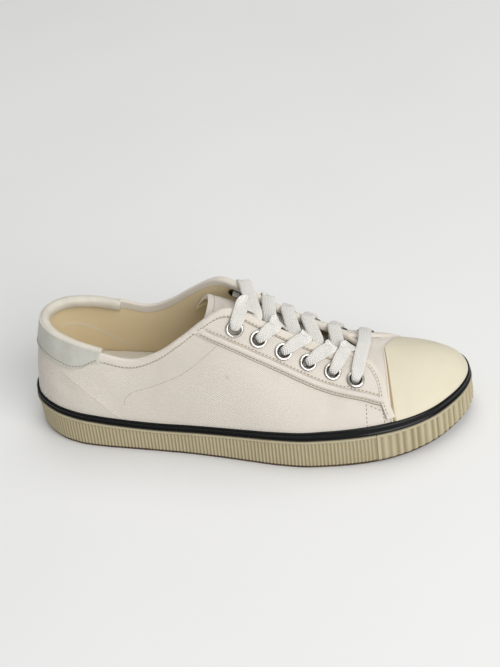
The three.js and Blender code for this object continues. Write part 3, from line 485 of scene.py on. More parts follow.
# Shader helpers
class Graph:
    def __init__(self, tree):
        self.tree = tree

    def node(self, kind, inputs=None, **settings):
        made = self.tree.nodes.new(kind if "Node" in kind else "ShaderNode" + kind)
        for key, value in settings.items():
            setattr(made, key, value)
        for key, value in (inputs or {}).items():
            self.feed(made.inputs[key], value)
        return made

    def feed(self, socket, value):
        if isinstance(value, bpy.types.NodeSocket):
            self.tree.links.new(value, socket)
        else:
            socket.default_value = value

    def math(self, operation, *values, clamp=False):
        made = self.node("Math", operation=operation, use_clamp=clamp)
        for socket, value in zip(made.inputs, values):
            self.feed(socket, value)
        return made.outputs[0]

    def mix(self, factor, a, b, blend="MIX"):
        made = self.node("Mix", data_type="RGBA", blend_type=blend)
        for i, value in ((0, factor), (6, a), (7, b)):
            self.feed(made.inputs[i], value)
        return made.outputs[2]

    def noise(self, vector, scale, detail=2.0, roughness=0.5):
        made = self.node("TexNoise", {"Vector": vector, "Scale": scale, "Detail": detail,
                                      "Roughness": roughness})
        return made.outputs["Fac"]

    def span(self, value, low, high, to=(0.0, 1.0), smooth=True):
        made = self.node("MapRange", interpolation_type="SMOOTHSTEP" if smooth else "LINEAR")
        for socket, v in zip(made.inputs, (value, low, high, to[0], to[1])):
            self.feed(socket, v)
        return made.outputs[0]

    def stretch(self, vector, scale, turn=0.0):
        made = self.node("Mapping", {"Vector": vector, "Scale": scale, "Rotation": (0, 0, turn)})
        return made.outputs[0]

    def bump(self, height, strength, distance):
        made = self.node("Bump", {"Strength": strength, "Distance": distance, "Height": height})
        return made.outputs[0]

    def attribute(self, name):
        return self.node("Attribute", attribute_name=name).outputs["Fac"]

    def cloth(self):
        return self.node("UVMap", uv_map="cloth").outputs[0]

    def place(self):
        return self.node("TexCoord").outputs["Object"]

    def use(self, group, **inputs):
        made = self.node("Group")
        made.node_tree = group
        for key, value in inputs.items():
            self.feed(made.inputs[key], value)
        return made


# sRGB numbers of a paint chart, 0 to 255, as a linear colour
def tone(r, g, b):
    c = np.array([r, g, b]) / 255
    c = np.where(c <= 0.04045, c / 12.92, ((c + 0.055) / 1.055) ** 2.4)
    return (*c.tolist(), 1.0)


# Node group with named inputs and outputs, and its graph
def newGroup(name, ins, outs):
    group = bpy.data.node_groups.new(name, "ShaderNodeTree")
    for key, kind, value in ins:
        socket = group.interface.new_socket(name=key, in_out="INPUT", socket_type="NodeSocket" + kind)
        if value is not None:
            socket.default_value = value
    for key, kind in outs:
        group.interface.new_socket(name=key, in_out="OUTPUT", socket_type="NodeSocket" + kind)
    graph = Graph(group)
    return group, graph, graph.node("NodeGroupInput").outputs, graph.node("NodeGroupOutput").inputs


# Weave: warp and weft are two sine waves over the cloth map, and their crossing shifts by one
# thread a row, which draws the diagonal of a twill; noise makes the yarn uneven
def buildWeave():
    group, g, put, out = newGroup(
        "weave",
        [("Vector", "Vector", None), ("Threads", "Float", 1.0), ("Twill", "Float", 1.0),
         ("Uneven", "Float", 0.4)],
        [("Height", "Float"), ("Shade", "Float")],
    )
    split = g.node("SeparateXYZ", {"Vector": put["Vector"]}).outputs
    u = g.math("MULTIPLY", split[0], put["Threads"])
    v = g.math("MULTIPLY", split[1], put["Threads"])
    uneven = g.noise(g.stretch(put["Vector"], (0.25, 3.0, 1.0)), 1.0, 3.0, 0.6)
    other = g.noise(g.stretch(put["Vector"], (3.0, 0.25, 1.0)), 1.0, 3.0, 0.6)
    wobble = g.math("MULTIPLY", g.math("SUBTRACT", uneven, 0.5), put["Uneven"])
    tau = 2 * math.pi
    diagonal = g.math("SINE", g.math("MULTIPLY", g.math("ADD", g.math("ADD", u, v), wobble), tau / 2))
    warp = g.math("SINE", g.math("MULTIPLY", g.math("ADD", u, wobble), tau))
    weft = g.math("SINE", g.math("MULTIPLY", g.math("ADD", v, wobble), tau))
    plain = g.math("MULTIPLY", warp, weft)
    twilled = g.math("ADD", g.math("MULTIPLY", diagonal, 0.7), g.math("MULTIPLY", plain, 0.3))
    blend = g.node("Mix", {0: put["Twill"], 2: plain, 3: twilled}).outputs[0]
    height = g.math("ADD", g.math("MULTIPLY", blend, 0.5), 0.5)
    yarn = g.math("MULTIPLY", g.math("SUBTRACT", other, 0.5), put["Uneven"])
    g.feed(out["Height"], g.math("ADD", height, yarn))
    # Shade paints shade into the weave's hollows, mixed with the uneven yarn's own tone
    g.feed(out["Shade"], g.math("ADD", g.math("MULTIPLY", height, 0.7),
                                g.math("MULTIPLY", uneven, 0.3), clamp=True))
    return group


# Wear: broad blotches and fine specks of two noises, a share of dirt mixed into the colour
def buildWear():
    group, g, put, out = newGroup(
        "wear",
        [("Color", "Color", (0.8, 0.8, 0.8, 1)), ("Dirt", "Color", (0.3, 0.25, 0.18, 1)),
         ("Blotch", "Float", 0.2), ("Specks", "Float", 0.2), ("Size", "Float", 60.0)],
        [("Color", "Color"), ("Mask", "Float"), ("Roughness", "Float")],
    )
    place = g.node("TexCoord").outputs["Object"]
    broad = g.span(g.noise(place, put["Size"], 4.0, 0.6), 0.42, 0.72)
    fine = g.span(g.noise(place, g.math("MULTIPLY", put["Size"], 14.0), 2.0, 0.7), 0.66, 0.78)
    mask = g.math("ADD", g.math("MULTIPLY", broad, put["Blotch"]),
                  g.math("MULTIPLY", fine, put["Specks"]), clamp=True)
    g.feed(out["Color"], g.mix(mask, put["Color"], put["Dirt"]))
    g.feed(out["Mask"], mask)
    g.feed(out["Roughness"], g.math("MULTIPLY", broad, 0.12))
    return group


# Grain: cell edges and a fine noise over object places, for leather and moulded rubber
def buildGrain():
    group, g, put, out = newGroup(
        "grain", [("Size", "Float", 900.0), ("Cells", "Float", 0.5)],
        [("Height", "Float"), ("Shade", "Float")],
    )
    place = g.node("TexCoord").outputs["Object"]
    cells = g.node("TexVoronoi", {"Vector": place, "Scale": put["Size"]}, feature="SMOOTH_F1")
    noise = g.noise(place, g.math("MULTIPLY", put["Size"], 1.7), 3.0, 0.6)
    height = g.node("Mix", {0: put["Cells"], 2: noise, 3: cells.outputs["Distance"]}).outputs[0]
    g.feed(out["Height"], height)
    g.feed(out["Shade"], g.noise(place, g.math("MULTIPLY", put["Size"], 0.06), 4.0, 0.6))
    return group


weave, wear, grain = buildWeave(), buildWear(), buildGrain()


# Material with plain values on the shader's own sockets
def newMaterial(name, **sockets):
    material = bpy.data.materials.new(name)
    material.use_nodes = True
    g = Graph(material.node_tree)
    shader = material.node_tree.nodes["Principled BSDF"]
    for key, value in sockets.items():
        shader.inputs[key.replace("_", " ")].default_value = value
    return material, g, shader.inputs


# Cloth: weave gives the bump, and its Shade mixes a light and a dark tone, painted shade in the weave's
# hollows along with uneven yarn; wear and the painted stains give the colour, and painted shade along
# seams and folds is multiplied in from a mesh attribute
def clothMaterial(name, light, dark, threads, twill, bumpShare=0.5, depth=0.00025, stains=False,
                  sheen=0.25, dirt=0.1):
    material, g, put = newMaterial(name, Roughness=0.95, Specular_IOR_Level=0.25, Sheen_Weight=sheen,
                                   Sheen_Roughness=0.6)
    cloth = g.use(weave, Vector=g.cloth(), Threads=threads, Twill=twill, Uneven=0.45)
    color = g.mix(cloth.outputs["Shade"], dark, light)
    worn = g.use(wear, Color=color, Dirt=tone(168, 150, 122), Blotch=dirt, Specks=dirt * 1.3, Size=38.0)
    color = worn.outputs["Color"]
    if stains:
        stain = g.attribute("stain")
        color = g.mix(g.math("MULTIPLY", stain, 0.8), color, tone(150, 108, 66))
        # painted shade: a multiply towards grey-brown along seams, folds and the tape's lower edge
        seam = g.attribute("seam")
        color = g.mix(seam, color, tone(150, 138, 122), blend="MULTIPLY")
    g.feed(put["Base Color"], color)
    g.feed(put["Normal"], g.bump(cloth.outputs["Height"], bumpShare, depth))
    return material


# Rubber: a matte grained skin; where a mesh attribute marks the rib valleys, they are darkened as
# painted shade
def rubberMaterial(name, color, valley, rough, groove=False, coat=0.0, grainSize=1400.0, dirt=0.12,
                   dirtTone=(150, 132, 92), depth=0.00008, gloss=0.4):
    material, g, put = newMaterial(name, Specular_IOR_Level=gloss, Coat_Roughness=0.25)
    put["Coat Weight"].default_value = coat
    skin = g.use(grain, Size=grainSize, Cells=0.35)
    shaded = g.mix(g.span(skin.outputs["Shade"], 0.3, 0.7), color, valley)
    base = g.mix(0.16, color, shaded)
    # painted shade in the rib valleys
    if groove:
        base = g.mix(g.attribute("groove"), base, valley)
    worn = g.use(wear, Color=base, Dirt=tone(*dirtTone), Blotch=dirt, Specks=dirt, Size=45.0)
    g.feed(put["Base Color"], worn.outputs["Color"])
    g.feed(put["Roughness"], g.math("ADD", worn.outputs["Roughness"], rough))
    g.feed(put["Normal"], g.bump(skin.outputs["Height"], 0.35, depth))
    return material


canvasCloth = clothMaterial("canvasTwill", tone(242, 235, 225), tone(204, 195, 181), 1.4, 1.0,
                            stains=True, bumpShare=0.9, depth=0.0003, dirt=0.05)
tapeCloth = clothMaterial("canvasTape", tone(238, 231, 219), tone(208, 199, 185), 1.6, 0.2,
                          bumpShare=0.6, stains=True)
liningCloth = clothMaterial("tanLining", tone(240, 222, 182), tone(218, 198, 156), 1.8, 0.0,
                            dirt=0.06, stains=True)
insoleCloth = clothMaterial("insoleCloth", tone(246, 242, 232), tone(232, 227, 215), 1.8, 0.0,
                            dirt=0.05)
threadCloth = clothMaterial("sewingThread", tone(184, 171, 146), tone(136, 122, 100), 4.0, 1.0,
                            bumpShare=0.6, depth=0.0001, sheen=0.1, dirt=0.05)
creamRubber = rubberMaterial("creamRubber", tone(186, 176, 147), tone(158, 146, 114), 0.55,
                             groove=True)
capRubber = rubberMaterial("capRubber", tone(216, 208, 185), tone(208, 199, 174), 0.6,
                           coat=0.03, dirt=0.05)
blackRubber = rubberMaterial("blackRubber", tone(4, 5, 6), tone(2, 3, 4), 0.24, coat=0.0,
                             gloss=0.24, dirt=0.02, dirtTone=(74, 74, 72))
gumRubber = rubberMaterial("gumRubber", tone(72, 50, 32), tone(48, 34, 24), 0.6, dirt=0.25)
seamRubber = rubberMaterial("seamCement", tone(172, 146, 108), tone(150, 124, 88), 0.5)


# Leather: grained skin in two close tones with a thin coat
def leatherMaterial(name, light, dark):
    material, g, put = newMaterial(name, Specular_IOR_Level=0.45, Coat_Weight=0.06, Coat_Roughness=0.35)
    skin = g.use(grain, Size=1100.0, Cells=0.8)
    color = g.mix(g.span(skin.outputs["Shade"], 0.32, 0.7), light, dark)
    worn = g.use(wear, Color=color, Dirt=tone(150, 142, 126), Blotch=0.08, Specks=0.1, Size=55.0)
    g.feed(put["Base Color"], worn.outputs["Color"])
    g.feed(put["Roughness"], g.math("ADD", worn.outputs["Roughness"], 0.42))
    g.feed(put["Normal"], g.bump(skin.outputs["Height"], 0.3, 0.00012))
    return material


patchLeather = leatherMaterial("paleLeather", tone(204, 203, 193), tone(192, 191, 182))
# the roll is the patch's leather made lighter and warmer: partly painted light on its upward face,
# partly a slight difference of tone
rollLeatherToneAndPaintedLight = leatherMaterial("rollLeatherToneAndPaintedLight", tone(216, 210, 196), tone(204, 198, 184))


# Nickel: a metal whose roughness follows a fine noise; its colour turns dark at the rim's outer edge
# and down the hole, a painted dark reflection and shade
def nickelMaterial():
    material, g, put = newMaterial("nickel", Metallic=1.0)
    place = g.place()
    smear = g.noise(place, 420.0, 4.0, 0.65)
    across = g.node("SeparateXYZ", {"Vector": g.cloth()}).outputs[1]
    crown = g.math("MULTIPLY", g.span(across, 0.1, 0.75), g.span(across, 2.9, 2.1))
    metal = g.mix(g.span(smear, 0.4, 0.7), tone(222, 219, 212), tone(186, 182, 174))
    # painted dark reflection and shade off the rim's crown
    g.feed(put["Base Color"], g.mix(crown, tone(74, 68, 60), metal))
    g.feed(put["Roughness"], g.span(smear, 0.3, 0.75, (0.16, 0.36)))
    g.feed(put["Normal"], g.bump(g.noise(place, 1800.0, 2.0), 0.08, 0.00005))
    return material


nickel = nickelMaterial()


# Cotton braid: two slanted waves that meet along the middle of the lace, like plaited yarns
def laceMaterial():
    material, g, put = newMaterial("cottonBraid", Roughness=0.95, Specular_IOR_Level=0.2,
                                   Sheen_Weight=0.3, Sheen_Roughness=0.5)
    cloth = g.cloth()
    split = g.node("SeparateXYZ", {"Vector": cloth}).outputs
    slant = g.math("ABSOLUTE", split[0])
    along = g.math("ADD", split[1], g.math("MULTIPLY", slant, 0.7))
    rows = g.math("SINE", g.math("MULTIPLY", along, 2 * math.pi / 1.1))
    cols = g.math("SINE", g.math("MULTIPLY", split[0], 2 * math.pi / 1.0))
    braid = g.math("MULTIPLY", g.math("ADD", rows, g.math("MULTIPLY", cols, 0.6)), 0.5)
    fuzz = g.noise(g.stretch(cloth, (2.0, 2.0, 1.0)), 1.0, 4.0, 0.7)
    height = g.math("ADD", braid, g.math("MULTIPLY", fuzz, 0.7))
    # the braid's hollows are darker as painted shade, mixed with the fuzz's random tone
    color = g.mix(g.span(height, -0.6, 1.2), tone(226, 222, 213), tone(253, 251, 246))
    worn = g.use(wear, Color=color, Dirt=tone(170, 160, 140), Blotch=0.05, Specks=0.05, Size=60.0)
    g.feed(put["Base Color"], worn.outputs["Color"])
    g.feed(put["Normal"], g.bump(height, 0.9, 0.00045))
    return material


cottonBraid = laceMaterial()
print("materials made")

# Eyelets: ring place and distance below the top edge
eyelet = {
    "rows": [(11.05, 11.4), (9.86, 11.2), (8.91, 12.4), (8.04, 13.8), (7.08, 14.1), (5.76, 27.6)],
    "outer": 5.5, "hole": 3.75, "wall": 0.55, "seat": 1.65, "rim": 0.95, "bore": 4.55, "reach": 7,
}
eyeletW = np.array([row[0] for row in eyelet["rows"]] + [fullRing - row[0] for row in eyelet["rows"]])
eyeletD = np.array([row[1] for row in eyelet["rows"]] * 2)
eyeletAt = atEdge(eyeletW, eyeletD)
eyeletOut = edgeNormal(eyeletW, eyeletD)


# Faces whose middle lies inside an eyelet's bore are dropped
def bored(grid, closed=False, radius=eyelet["bore"]):
    g = np.concatenate([grid, grid[:1]], 0) if closed else grid
    middle = (g[:-1, :-1] + g[1:, :-1] + g[1:, 1:] + g[:-1, 1:]) / 4
    keep = np.ones(middle.shape[:2], bool)
    for at, out in zip(eyeletAt, eyeletOut):
        away = middle - at
        deep = away @ out
        flat = np.linalg.norm(away - deep[..., None] * out, axis=-1)
        keep &= ~((flat < radius) & (np.abs(deep) < eyelet["reach"]))
    return keep


# Height of a soft ridge round a line: a bell of the distance to it, which fades at its ends
def bell(points, line, width, fade=0.15):
    flat = points.reshape(-1, 3)
    best = np.full(len(flat), 1e9)
    share = np.zeros(len(flat))
    for i in range(len(line) - 1):
        a, b = line[i], line[i + 1]
        t = np.clip((flat - a) @ (b - a) / max(((b - a) ** 2).sum(), 1e-9), 0, 1)
        d = np.linalg.norm(flat - a - t[:, None] * (b - a), axis=-1)
        nearer = d < best
        best = np.where(nearer, d, best)
        share = np.where(nearer, (i + t) / (len(line) - 1), share)
    ends = smoothstep(share, 0, fade) * smoothstep(1 - share, 0, fade) if fade else 1.0
    return (np.exp(-((best / width) ** 2)) * ends).reshape(points.shape[:2])


# The same ring place on the lateral side or the medial one
def onSide(w, medial):
    return fullRing - w if medial else w


# Places and distances along a table of such pairs, between two of its row numbers
def readPairs(pairs, count, medial=False, first=0, last=None):
    pairs = np.asarray(pairs, dtype=float)
    at = np.linspace(first, len(pairs) - 1 if last is None else last, count)
    return onSide(alongRows(pairs[:, 0], at), medial), alongRows(pairs[:, 1], at)


# Curve on the face through such pairs
def lineOf(pairs, count=40, medial=False):
    return atEdge(*readPairs(pairs, count, medial))


# Upper: canvas outside, tan lining inside
upper = {
    "ring": 420, "levels": 58, "liningLevels": 34, "canvas": 0.9,
    "counterSeam": [(18.45, 22.6), (17.85, 27.0), (17.2, 33.3), (16.3, 41.6), (16.0, 44.5)],
    "liningSeam": [(11.65, 23.2), (12.1, 28.5), (12.7, 32.5), (13.45, 33.2), (14.5, 28.6),
                   (15.05, 26.8), (15.6, 26.2), (15.85, 29.4), (15.9, 35.1)],
    "heelSeam": [(22.5, 22.2), (23.3, 22.7), (24.2, 27.5), (25.04, 32.3), (25.9, 36.5)],
    # each stain: path, points on it, strength, width, fade at its ends
    "stains": [
        ([(5.1, 56.6), (4.85, 56.9), (4.6, 57)], 6, 0.9, 1.3, 0.2),
        ([(10.9, 41.5), (10.85, 41.6)], 3, 0.35, 0.9, 0),
    ],
    # each crease: path, height (below 0 is a trough), width
    "creases": [
        ([(18.9, 26), (18.3, 33), (17.5, 40)], -0.5, 4.5),
        ([(17.6, 20), (16.6, 28), (15.9, 38)], -0.35, 6.0),
        ([(14.6, 14), (13.9, 22), (13.0, 33)], -0.3, 6.0),
        ([(10.6, 30), (9.4, 36), (8.2, 38)], 0.35, 7.0),
        ([(7.7, 31), (6.9, 37), (6.4, 43)], -0.45, 4.0),
        ([(6.9, 32), (6.2, 40), (5.8, 48)], 0.4, 3.5),
        ([(5.3, 4), (5.1, 12), (4.9, 20)], -0.45, 3.0),
        ([(4.7, 3), (4.5, 14), (4.3, 26)], 0.35, 2.5),
        ([(20.3, 24), (19.6, 32), (18.9, 42)], 0.3, 5.0),
    ],
}
ringW = np.linspace(0, fullRing, upper["ring"], endpoint=False)


# Rows from inside the wall up the face to the top edge, all moved out by one offset
def upperGrid(w, levels, offset):
    s = np.linspace(0, 1, levels)[None] * (1 - sinkAt(w) / sectionAt(w)["size"])[:, None]
    low = np.stack([soleTop(soleEdge(w)[0]) + 0.3, sectionAt(w)["foot"][:, 2] - 1.5], -1)
    return np.concatenate([atHeight(w, low, offset), onFace(w, s, offset)], 1)


# Sum of the bells of all creases and of the counter seam, on both sides
def creaseField(points):
    field = np.zeros(points.shape[:2])
    for medial in (False, True):
        for pairs, height, width in upper["creases"]:
            field += height * bell(points, lineOf(pairs, 12, medial), width, 0.45)
        field += 0.25 * bell(points, lineOf(upper["counterSeam"], 16, medial), 1.3)
    return field


# Canvas with creases outside, and a smooth lining inside it; the two are open at the eyelets
def makeUpper():
    base = upperGrid(ringW, upper["levels"], 0.0)
    field = creaseField(base)
    s = np.linspace(0, 1, upper["levels"])
    free = np.concatenate([[0, 0], smoothstep(s, 0, 0.12) * smoothstep(1 - s, 0, 0.06)])[None]
    normal = unit(upperGrid(ringW, upper["levels"], 1.0) - base)
    outer = base + normal * (field * free)[..., None]
    inner = upperGrid(ringW, upper["levels"], -upper["canvas"])
    uv = lengthMap(base, closedRows=True)
    keep = bored(base, closed=True)
    tips = fromTip(ringW)
    noRim = (tips <= slotFront) & (fromTip(ringW + fullRing / upper["ring"]) <= slotFront)
    stain = np.zeros(base.shape[:2])
    for pairs, count, share, width, fade in upper["stains"]:
        stain += share * bell(base, lineOf(pairs, count), width, fade)
    cloth = slab(outer, inner, uv, True, keep, noRim, {"stain": stain})
    makePiece("upper_canvas", [cloth], canvasCloth, ["upper"], 60)
    few = ringW[::2]
    outer = upperGrid(few, upper["liningLevels"], -upper["canvas"] - 0.02)
    inner = upperGrid(few, upper["liningLevels"], -shoe["canvas"])
    uv = lengthMap(inner, closedRows=True)
    noRim = (fromTip(few) <= slotFront) & (fromTip(few + 2 * fullRing / upper["ring"]) <= slotFront)
    keep = bored(outer, True, eyelet["bore"] + 0.2)
    lining = slab(outer, inner, uv, True, keep, noRim)
    makePiece("upper_lining", [lining], liningCloth, ["upper"], 60)


makeUpper()

# Eyestays: the laced panel, from its folded lower edge up to the throat tape
# each row: low place, length of the face below the low edge, high place, high distance
eyestay = {
    "rows": [
        (4.22, 10.4, 4.13, 43.2), (4.45, 13.6, 4.2, 37), (4.75, 15.6, 4.32, 27), (5.2, 18.6, 4.6, 20),
        (5.7, 21.0, 5.05, 14.6), (6.1, 22.6, 5.6, 11.2), (6.5, 24.1, 6.3, 7.4), (6.9, 25.7, 6.8, 5.6),
        (7.3, 27.8, 7.25, 5), (7.7, 30.3, 7.7, 4.6), (8.25, 34.3, 8.25, 4.4), (8.85, 39.2, 8.85, 4.2),
        (9.55, 44.7, 9.55, 4.2), (10.45, 51.3, 10.45, 4.2), (11.4, 56.8, 11.4, 4.2),
        (12.15, 60.2, 12.2, 4.2), (12.85, 64.1, 12.95, 4.2), (13.35, 67.3, 13.45, 4.2),
    ],
    "under": 0.05, "top": 1.25, "ridgeAt": 3.4, "ridgeWide": 1.9, "ridgeHigh": 1.35,
    "lowRow": 1.25, "highRow": 6.3,
}


# Place on the eyestay: row number a, and share t from the low edge to the high one
def eyestayAt(a, t, side):
    rows = np.array(eyestay["rows"])
    low, lowUp, high, highD = (alongRows(rows[:, i], a) for i in range(4))
    lowD = sectionAt(low.ravel())["size"].reshape(low.shape) - lowUp
    w = low + (high - low) * t
    return onSide(w, side == "medial"), lowD + (highD - lowD) * t


# Height over the panel: a rounded fold, a tube-like ridge, and dips under both rows of stitches
def eyestayHeight(x, fromTop):
    fold = smoothstep(x, -0.1, 0.7) + 0.2 * np.exp(-(((x - 0.6) / 0.5) ** 2))
    ridge = np.clip(1 - ((x - eyestay["ridgeAt"]) / eyestay["ridgeWide"]) ** 2, 0, 1) ** 0.7
    dips = 0.2 * np.exp(-(((x - eyestay["lowRow"]) / 0.45) ** 2))
    dips += 0.22 * np.exp(-(((x - eyestay["highRow"]) / 0.7) ** 2))
    puff = 0.12 * np.sin(np.clip((x - 7) / 9, 0, 1) * np.pi)
    fade = smoothstep(fromTop, 1.0, 6.0)
    height = eyestay["top"] * fold + (eyestay["ridgeHigh"] * ridge - dips + puff) * fade
    most = eyestay["top"] * smoothstep(fromTop, -0.2, 0.8) + 3 * smoothstep(fromTop, 0.5, 2)
    return np.minimum(height, most)


# Panel raised over the face by eyestayHeight; its per-point value darkens the cloth as painted shade
# along the folded low edge and on both sides of the ridge
def makeEyestay(side):
    a, t = np.meshgrid(np.linspace(0, len(eyestay["rows"]) - 1, 200), np.linspace(0, 1, 64) ** 1.5,
                       indexing="ij")
    w, distance = eyestayAt(a, t, side)
    base = atEdge(w, distance)
    length = lengthMap(base)[..., 1]
    height = eyestayHeight(length, length[:, -1:] - length)
    out = edgeNormal(w, distance)
    outer = base + out * np.maximum(height, 0.12)[..., None]
    inner = base + out * eyestay["under"]
    keep = bored(base)
    fromTop = length[:, -1:] - length
    # painted shade lines: the folded low edge, and both sides of the ridge, faded out near the top edge
    creases = 0.9 * np.exp(-((length / 0.45) ** 2))
    for x, share in ((eyestay["ridgeAt"] - 1.9, 0.35), (eyestay["ridgeAt"] + 2.0, 0.45)):
        line = np.exp(-(((length - x) / 0.5) ** 2))
        creases = creases + share * line * smoothstep(fromTop, 3, 7)
    return slab(outer, inner, lengthMap(base), False, keep, None, {"seam": creases})


for side in ("lateral", "medial"):
    makePiece("eyestay_" + side + "_cloth", [makeEyestay(side)], canvasCloth,
              ["eyestay_" + side], 60)

# Binding round the collar and throat, and the tape that runs down in front of the eyestay
binding = {
    "throatWidth": [(6.4, 6.0), (7.1, 6.2), (7.7, 6.2), (8.4, 5.6), (9.15, 4.7), (10, 4.2), (11, 4.2),
                    (12, 4.6), (13, 5.0), (17.2, 5.2)],
    "end": 17.05, "thick": 0.55,
    "front": [(7.4, 0.2), (6.75, 1.1), (6.2, 5.6), (5.6, 11.2), (5.15, 13.8), (4.85, 16.2), (4.5, 21.4),
              (4.35, 25.6), (4.25, 31), (4.2, 38.1), (4.08, 44.6), (4.02, 48.5)],
    "frontWidth": 4.6, "frontHigh": 1.9, "frontStitch": 3.4,
    # over the panel the tape starts higher, and steps down behind its rear end
    "low": 0.15, "overPanel": 1.25, "stepDown": (12.6, 13.4),
}


# Width of the tape on the outside, along the throat and collar
def bindingWidth(w):
    pairs = np.array(binding["throatWidth"])
    return np.interp(fromTip(w), pairs[:, 0], pairs[:, 1])


# Height of the tape's underside over the face
def bindingBase(w):
    return binding["low"] + binding["overPanel"] * (1 - smoothstep(fromTip(w), *binding["stepDown"]))


# Profile over the edge: up the outside, round the top and down the inside, 0 to 1 along it
def bindingFace(w, lower):
    base = bindingBase(w)[:, None]
    width = bindingWidth(w)[:, None]
    thick = binding["thick"]
    a = np.linspace(0, 1, 10)[None]
    outD = width * (1 - a)
    bulge = 0.25 * np.sin(a * np.pi) - 0.18 * np.exp(-(((outD - width + 1.0) / 0.45) ** 2))
    outO = base + thick * np.minimum(1, a * 9) + bulge
    turn = np.linspace(0, np.pi, 11)[None, 1:-1]
    inside = -shoe["canvas"] - thick - 0.25
    middle, radius = (base + thick + inside) / 2, (base + thick - inside) / 2
    topD = -0.75 * radius * np.sin(turn)
    topO = middle + radius * np.cos(turn)
    b = np.linspace(0, 1, 7)[None]
    inD = np.broadcast_to(4.6 * b, (len(w), 7))
    inO = inside + 0.2 * smoothstep(b, 0.85, 1) + 0 * width
    distance = np.concatenate([outD, topD, inD], 1)
    offset = np.concatenate([outO, topO, inO], 1)
    if lower:
        flatten = np.where(distance < 0, 0.25, 1.0)
        over = np.linspace(0, 1, distance.shape[1])[None]
        mix = smoothstep(over, 0.42, 0.58)
        offset = (base + 0.02) * (1 - mix) + (-shoe["canvas"] - 0.1) * mix
        distance = distance * flatten
    return atEdge(w[:, None], distance + sinkAt(w)[:, None], offset)


def makeBinding(side):
    w = onSide(np.linspace(6.6, binding["end"], 190), side == "medial")
    outer, inner = bindingFace(w, False), bindingFace(w, True)
    # painted shade along the tape's lower border, where it lies on the canvas
    seam = np.zeros(outer.shape[:2])
    seam[:, 0], seam[:, 1] = 0.9, 0.3
    return slab(outer, inner, lengthMap(outer), values={"seam": seam})


# Line of the front tape's border, the way out of the face there and the way in over the eyestay
def frontLine(side, count, first=0, last=None):
    w, distance = readPairs(binding["front"], count, side == "medial", first, last)
    edge, out = atEdge(w, distance), edgeNormal(w, distance)
    inward = np.cross(out, unit(np.gradient(edge, axis=0)))
    toward = atEdge(np.where(w < halfRing, w + 0.6, w - 0.6), distance + 3) - edge
    return edge, out, inward * np.sign((inward * toward).sum(-1))[:, None]


# Flat tape over the eyestay's front edge: its outer border rolls down to the vamp
def makeFrontTape(side):
    edge, out, inward = frontLine(side, 120)
    x = np.linspace(-0.9, binding["frontWidth"], 22)[None]
    roll = np.clip(1 - ((x - 0.5) / 1.4) ** 2, 0, 1) ** 0.5
    rise = np.where(x < 0.5, binding["frontHigh"] * roll, binding["frontHigh"])
    settle = smoothstep(x, binding["frontWidth"] - 0.35, binding["frontWidth"])
    dip = 0.2 * np.exp(-(((x - binding["frontStitch"]) / 0.5) ** 2))
    height = rise - 0.4 * settle - dip + 0.15 * np.sin(x / binding["frontWidth"] * np.pi)
    floor = np.where(x < 0.5, 0.05, 1.35)
    base = edge[:, None] + inward[:, None] * x[..., None]
    outer = base + out[:, None] * np.maximum(height, 0.1)[..., None]
    inner = base + out[:, None] * floor[..., None]
    return slab(outer, inner, lengthMap(outer))


for side in ("lateral", "medial"):
    makePiece("binding_" + side + "_tape", [makeBinding(side), makeFrontTape(side)], tapeCloth,
              ["binding_" + side], 50)
print("upper done")

# Black band with two ridges
# the profile's pairs: share of the band's height, and how far it stands out there
band = {
    "ring": 420,
    "profile": [(0, 0.3), (0.04, 1.1), (0.1, 1.62), (0.2, 1.85), (0.3, 1.75), (0.38, 1.35),
                (0.44, 1.02), (0.5, 0.98), (0.56, 1.05), (0.62, 1.32), (0.7, 1.65), (0.8, 1.72),
                (0.9, 1.5), (0.96, 1.0), (1, 0.2)],
}


# Profile of two ridges carried along the top of the wall
def makeBand():
    w = np.linspace(0, fullRing, band["ring"], endpoint=False)
    profile = np.array(band["profile"])
    low = (wallTop(soleEdge(w)[0]) + shoe["gap"] * 0.4)[:, None]
    z = low + profile[:, 0] * (shoe["bandHeight"] + 0.2)
    outer = atHeight(w, z, np.broadcast_to(profile[:, 1], z.shape))
    inner = atHeight(w, z, np.full(z.shape, -0.05))
    return slab(outer, inner, lengthMap(outer, closedRows=True), True)


makePiece("edge_band_rubber", [makeBand()], blackRubber, ["edge_band"], 50)

# Toe cap, its cement line and the canvas edge behind it
cap = {"thick": 1.1, "foot": 0.45, "footShare": 0.07, "rearFade": 0.06}


# Face of the last from the foot to the crown, thickened outwards, thin at its foot and its rear edge
def makeCap():
    w = np.linspace(-capRear, capRear, 161)
    s = np.broadcast_to(np.linspace(0.0, 1, 50), (len(w), 50))
    rear = np.minimum(1, ((capRear - np.abs(w)) / cap["rearFade"] + 0.25))[:, None]
    foot = cap["foot"] + (1 - cap["foot"]) * smoothstep(s, 0.0, cap["footShare"])
    outer = onFace(w, s, rear * foot * cap["thick"])
    inner = onFace(w, s, 0.08)
    return slab(outer, inner, lengthMap(outer), False, None, np.ones(len(w), bool))


makePiece("toe_cap_rubber", [makeCap()], capRubber, ["toe_cap"], 50)


# A thin round bead along the column at one ring place, up one side and down the other
def capBead(place, offset, radius, flatness=0.6):
    s = np.linspace(0.02, 1, 60)[None]
    up = onFace(np.array([place]), s, offset)[0]
    down = onFace(np.array([fullRing - place]), s, offset)[0][::-1]
    path = np.concatenate([up, down[1:]])
    rise = unit(np.concatenate([faceNormal(np.array([place]), s)[0],
                                faceNormal(np.array([fullRing - place]), s)[0][::-1][1:]]))
    return cordAlong(path, rise, radius, radius * flatness, 8)


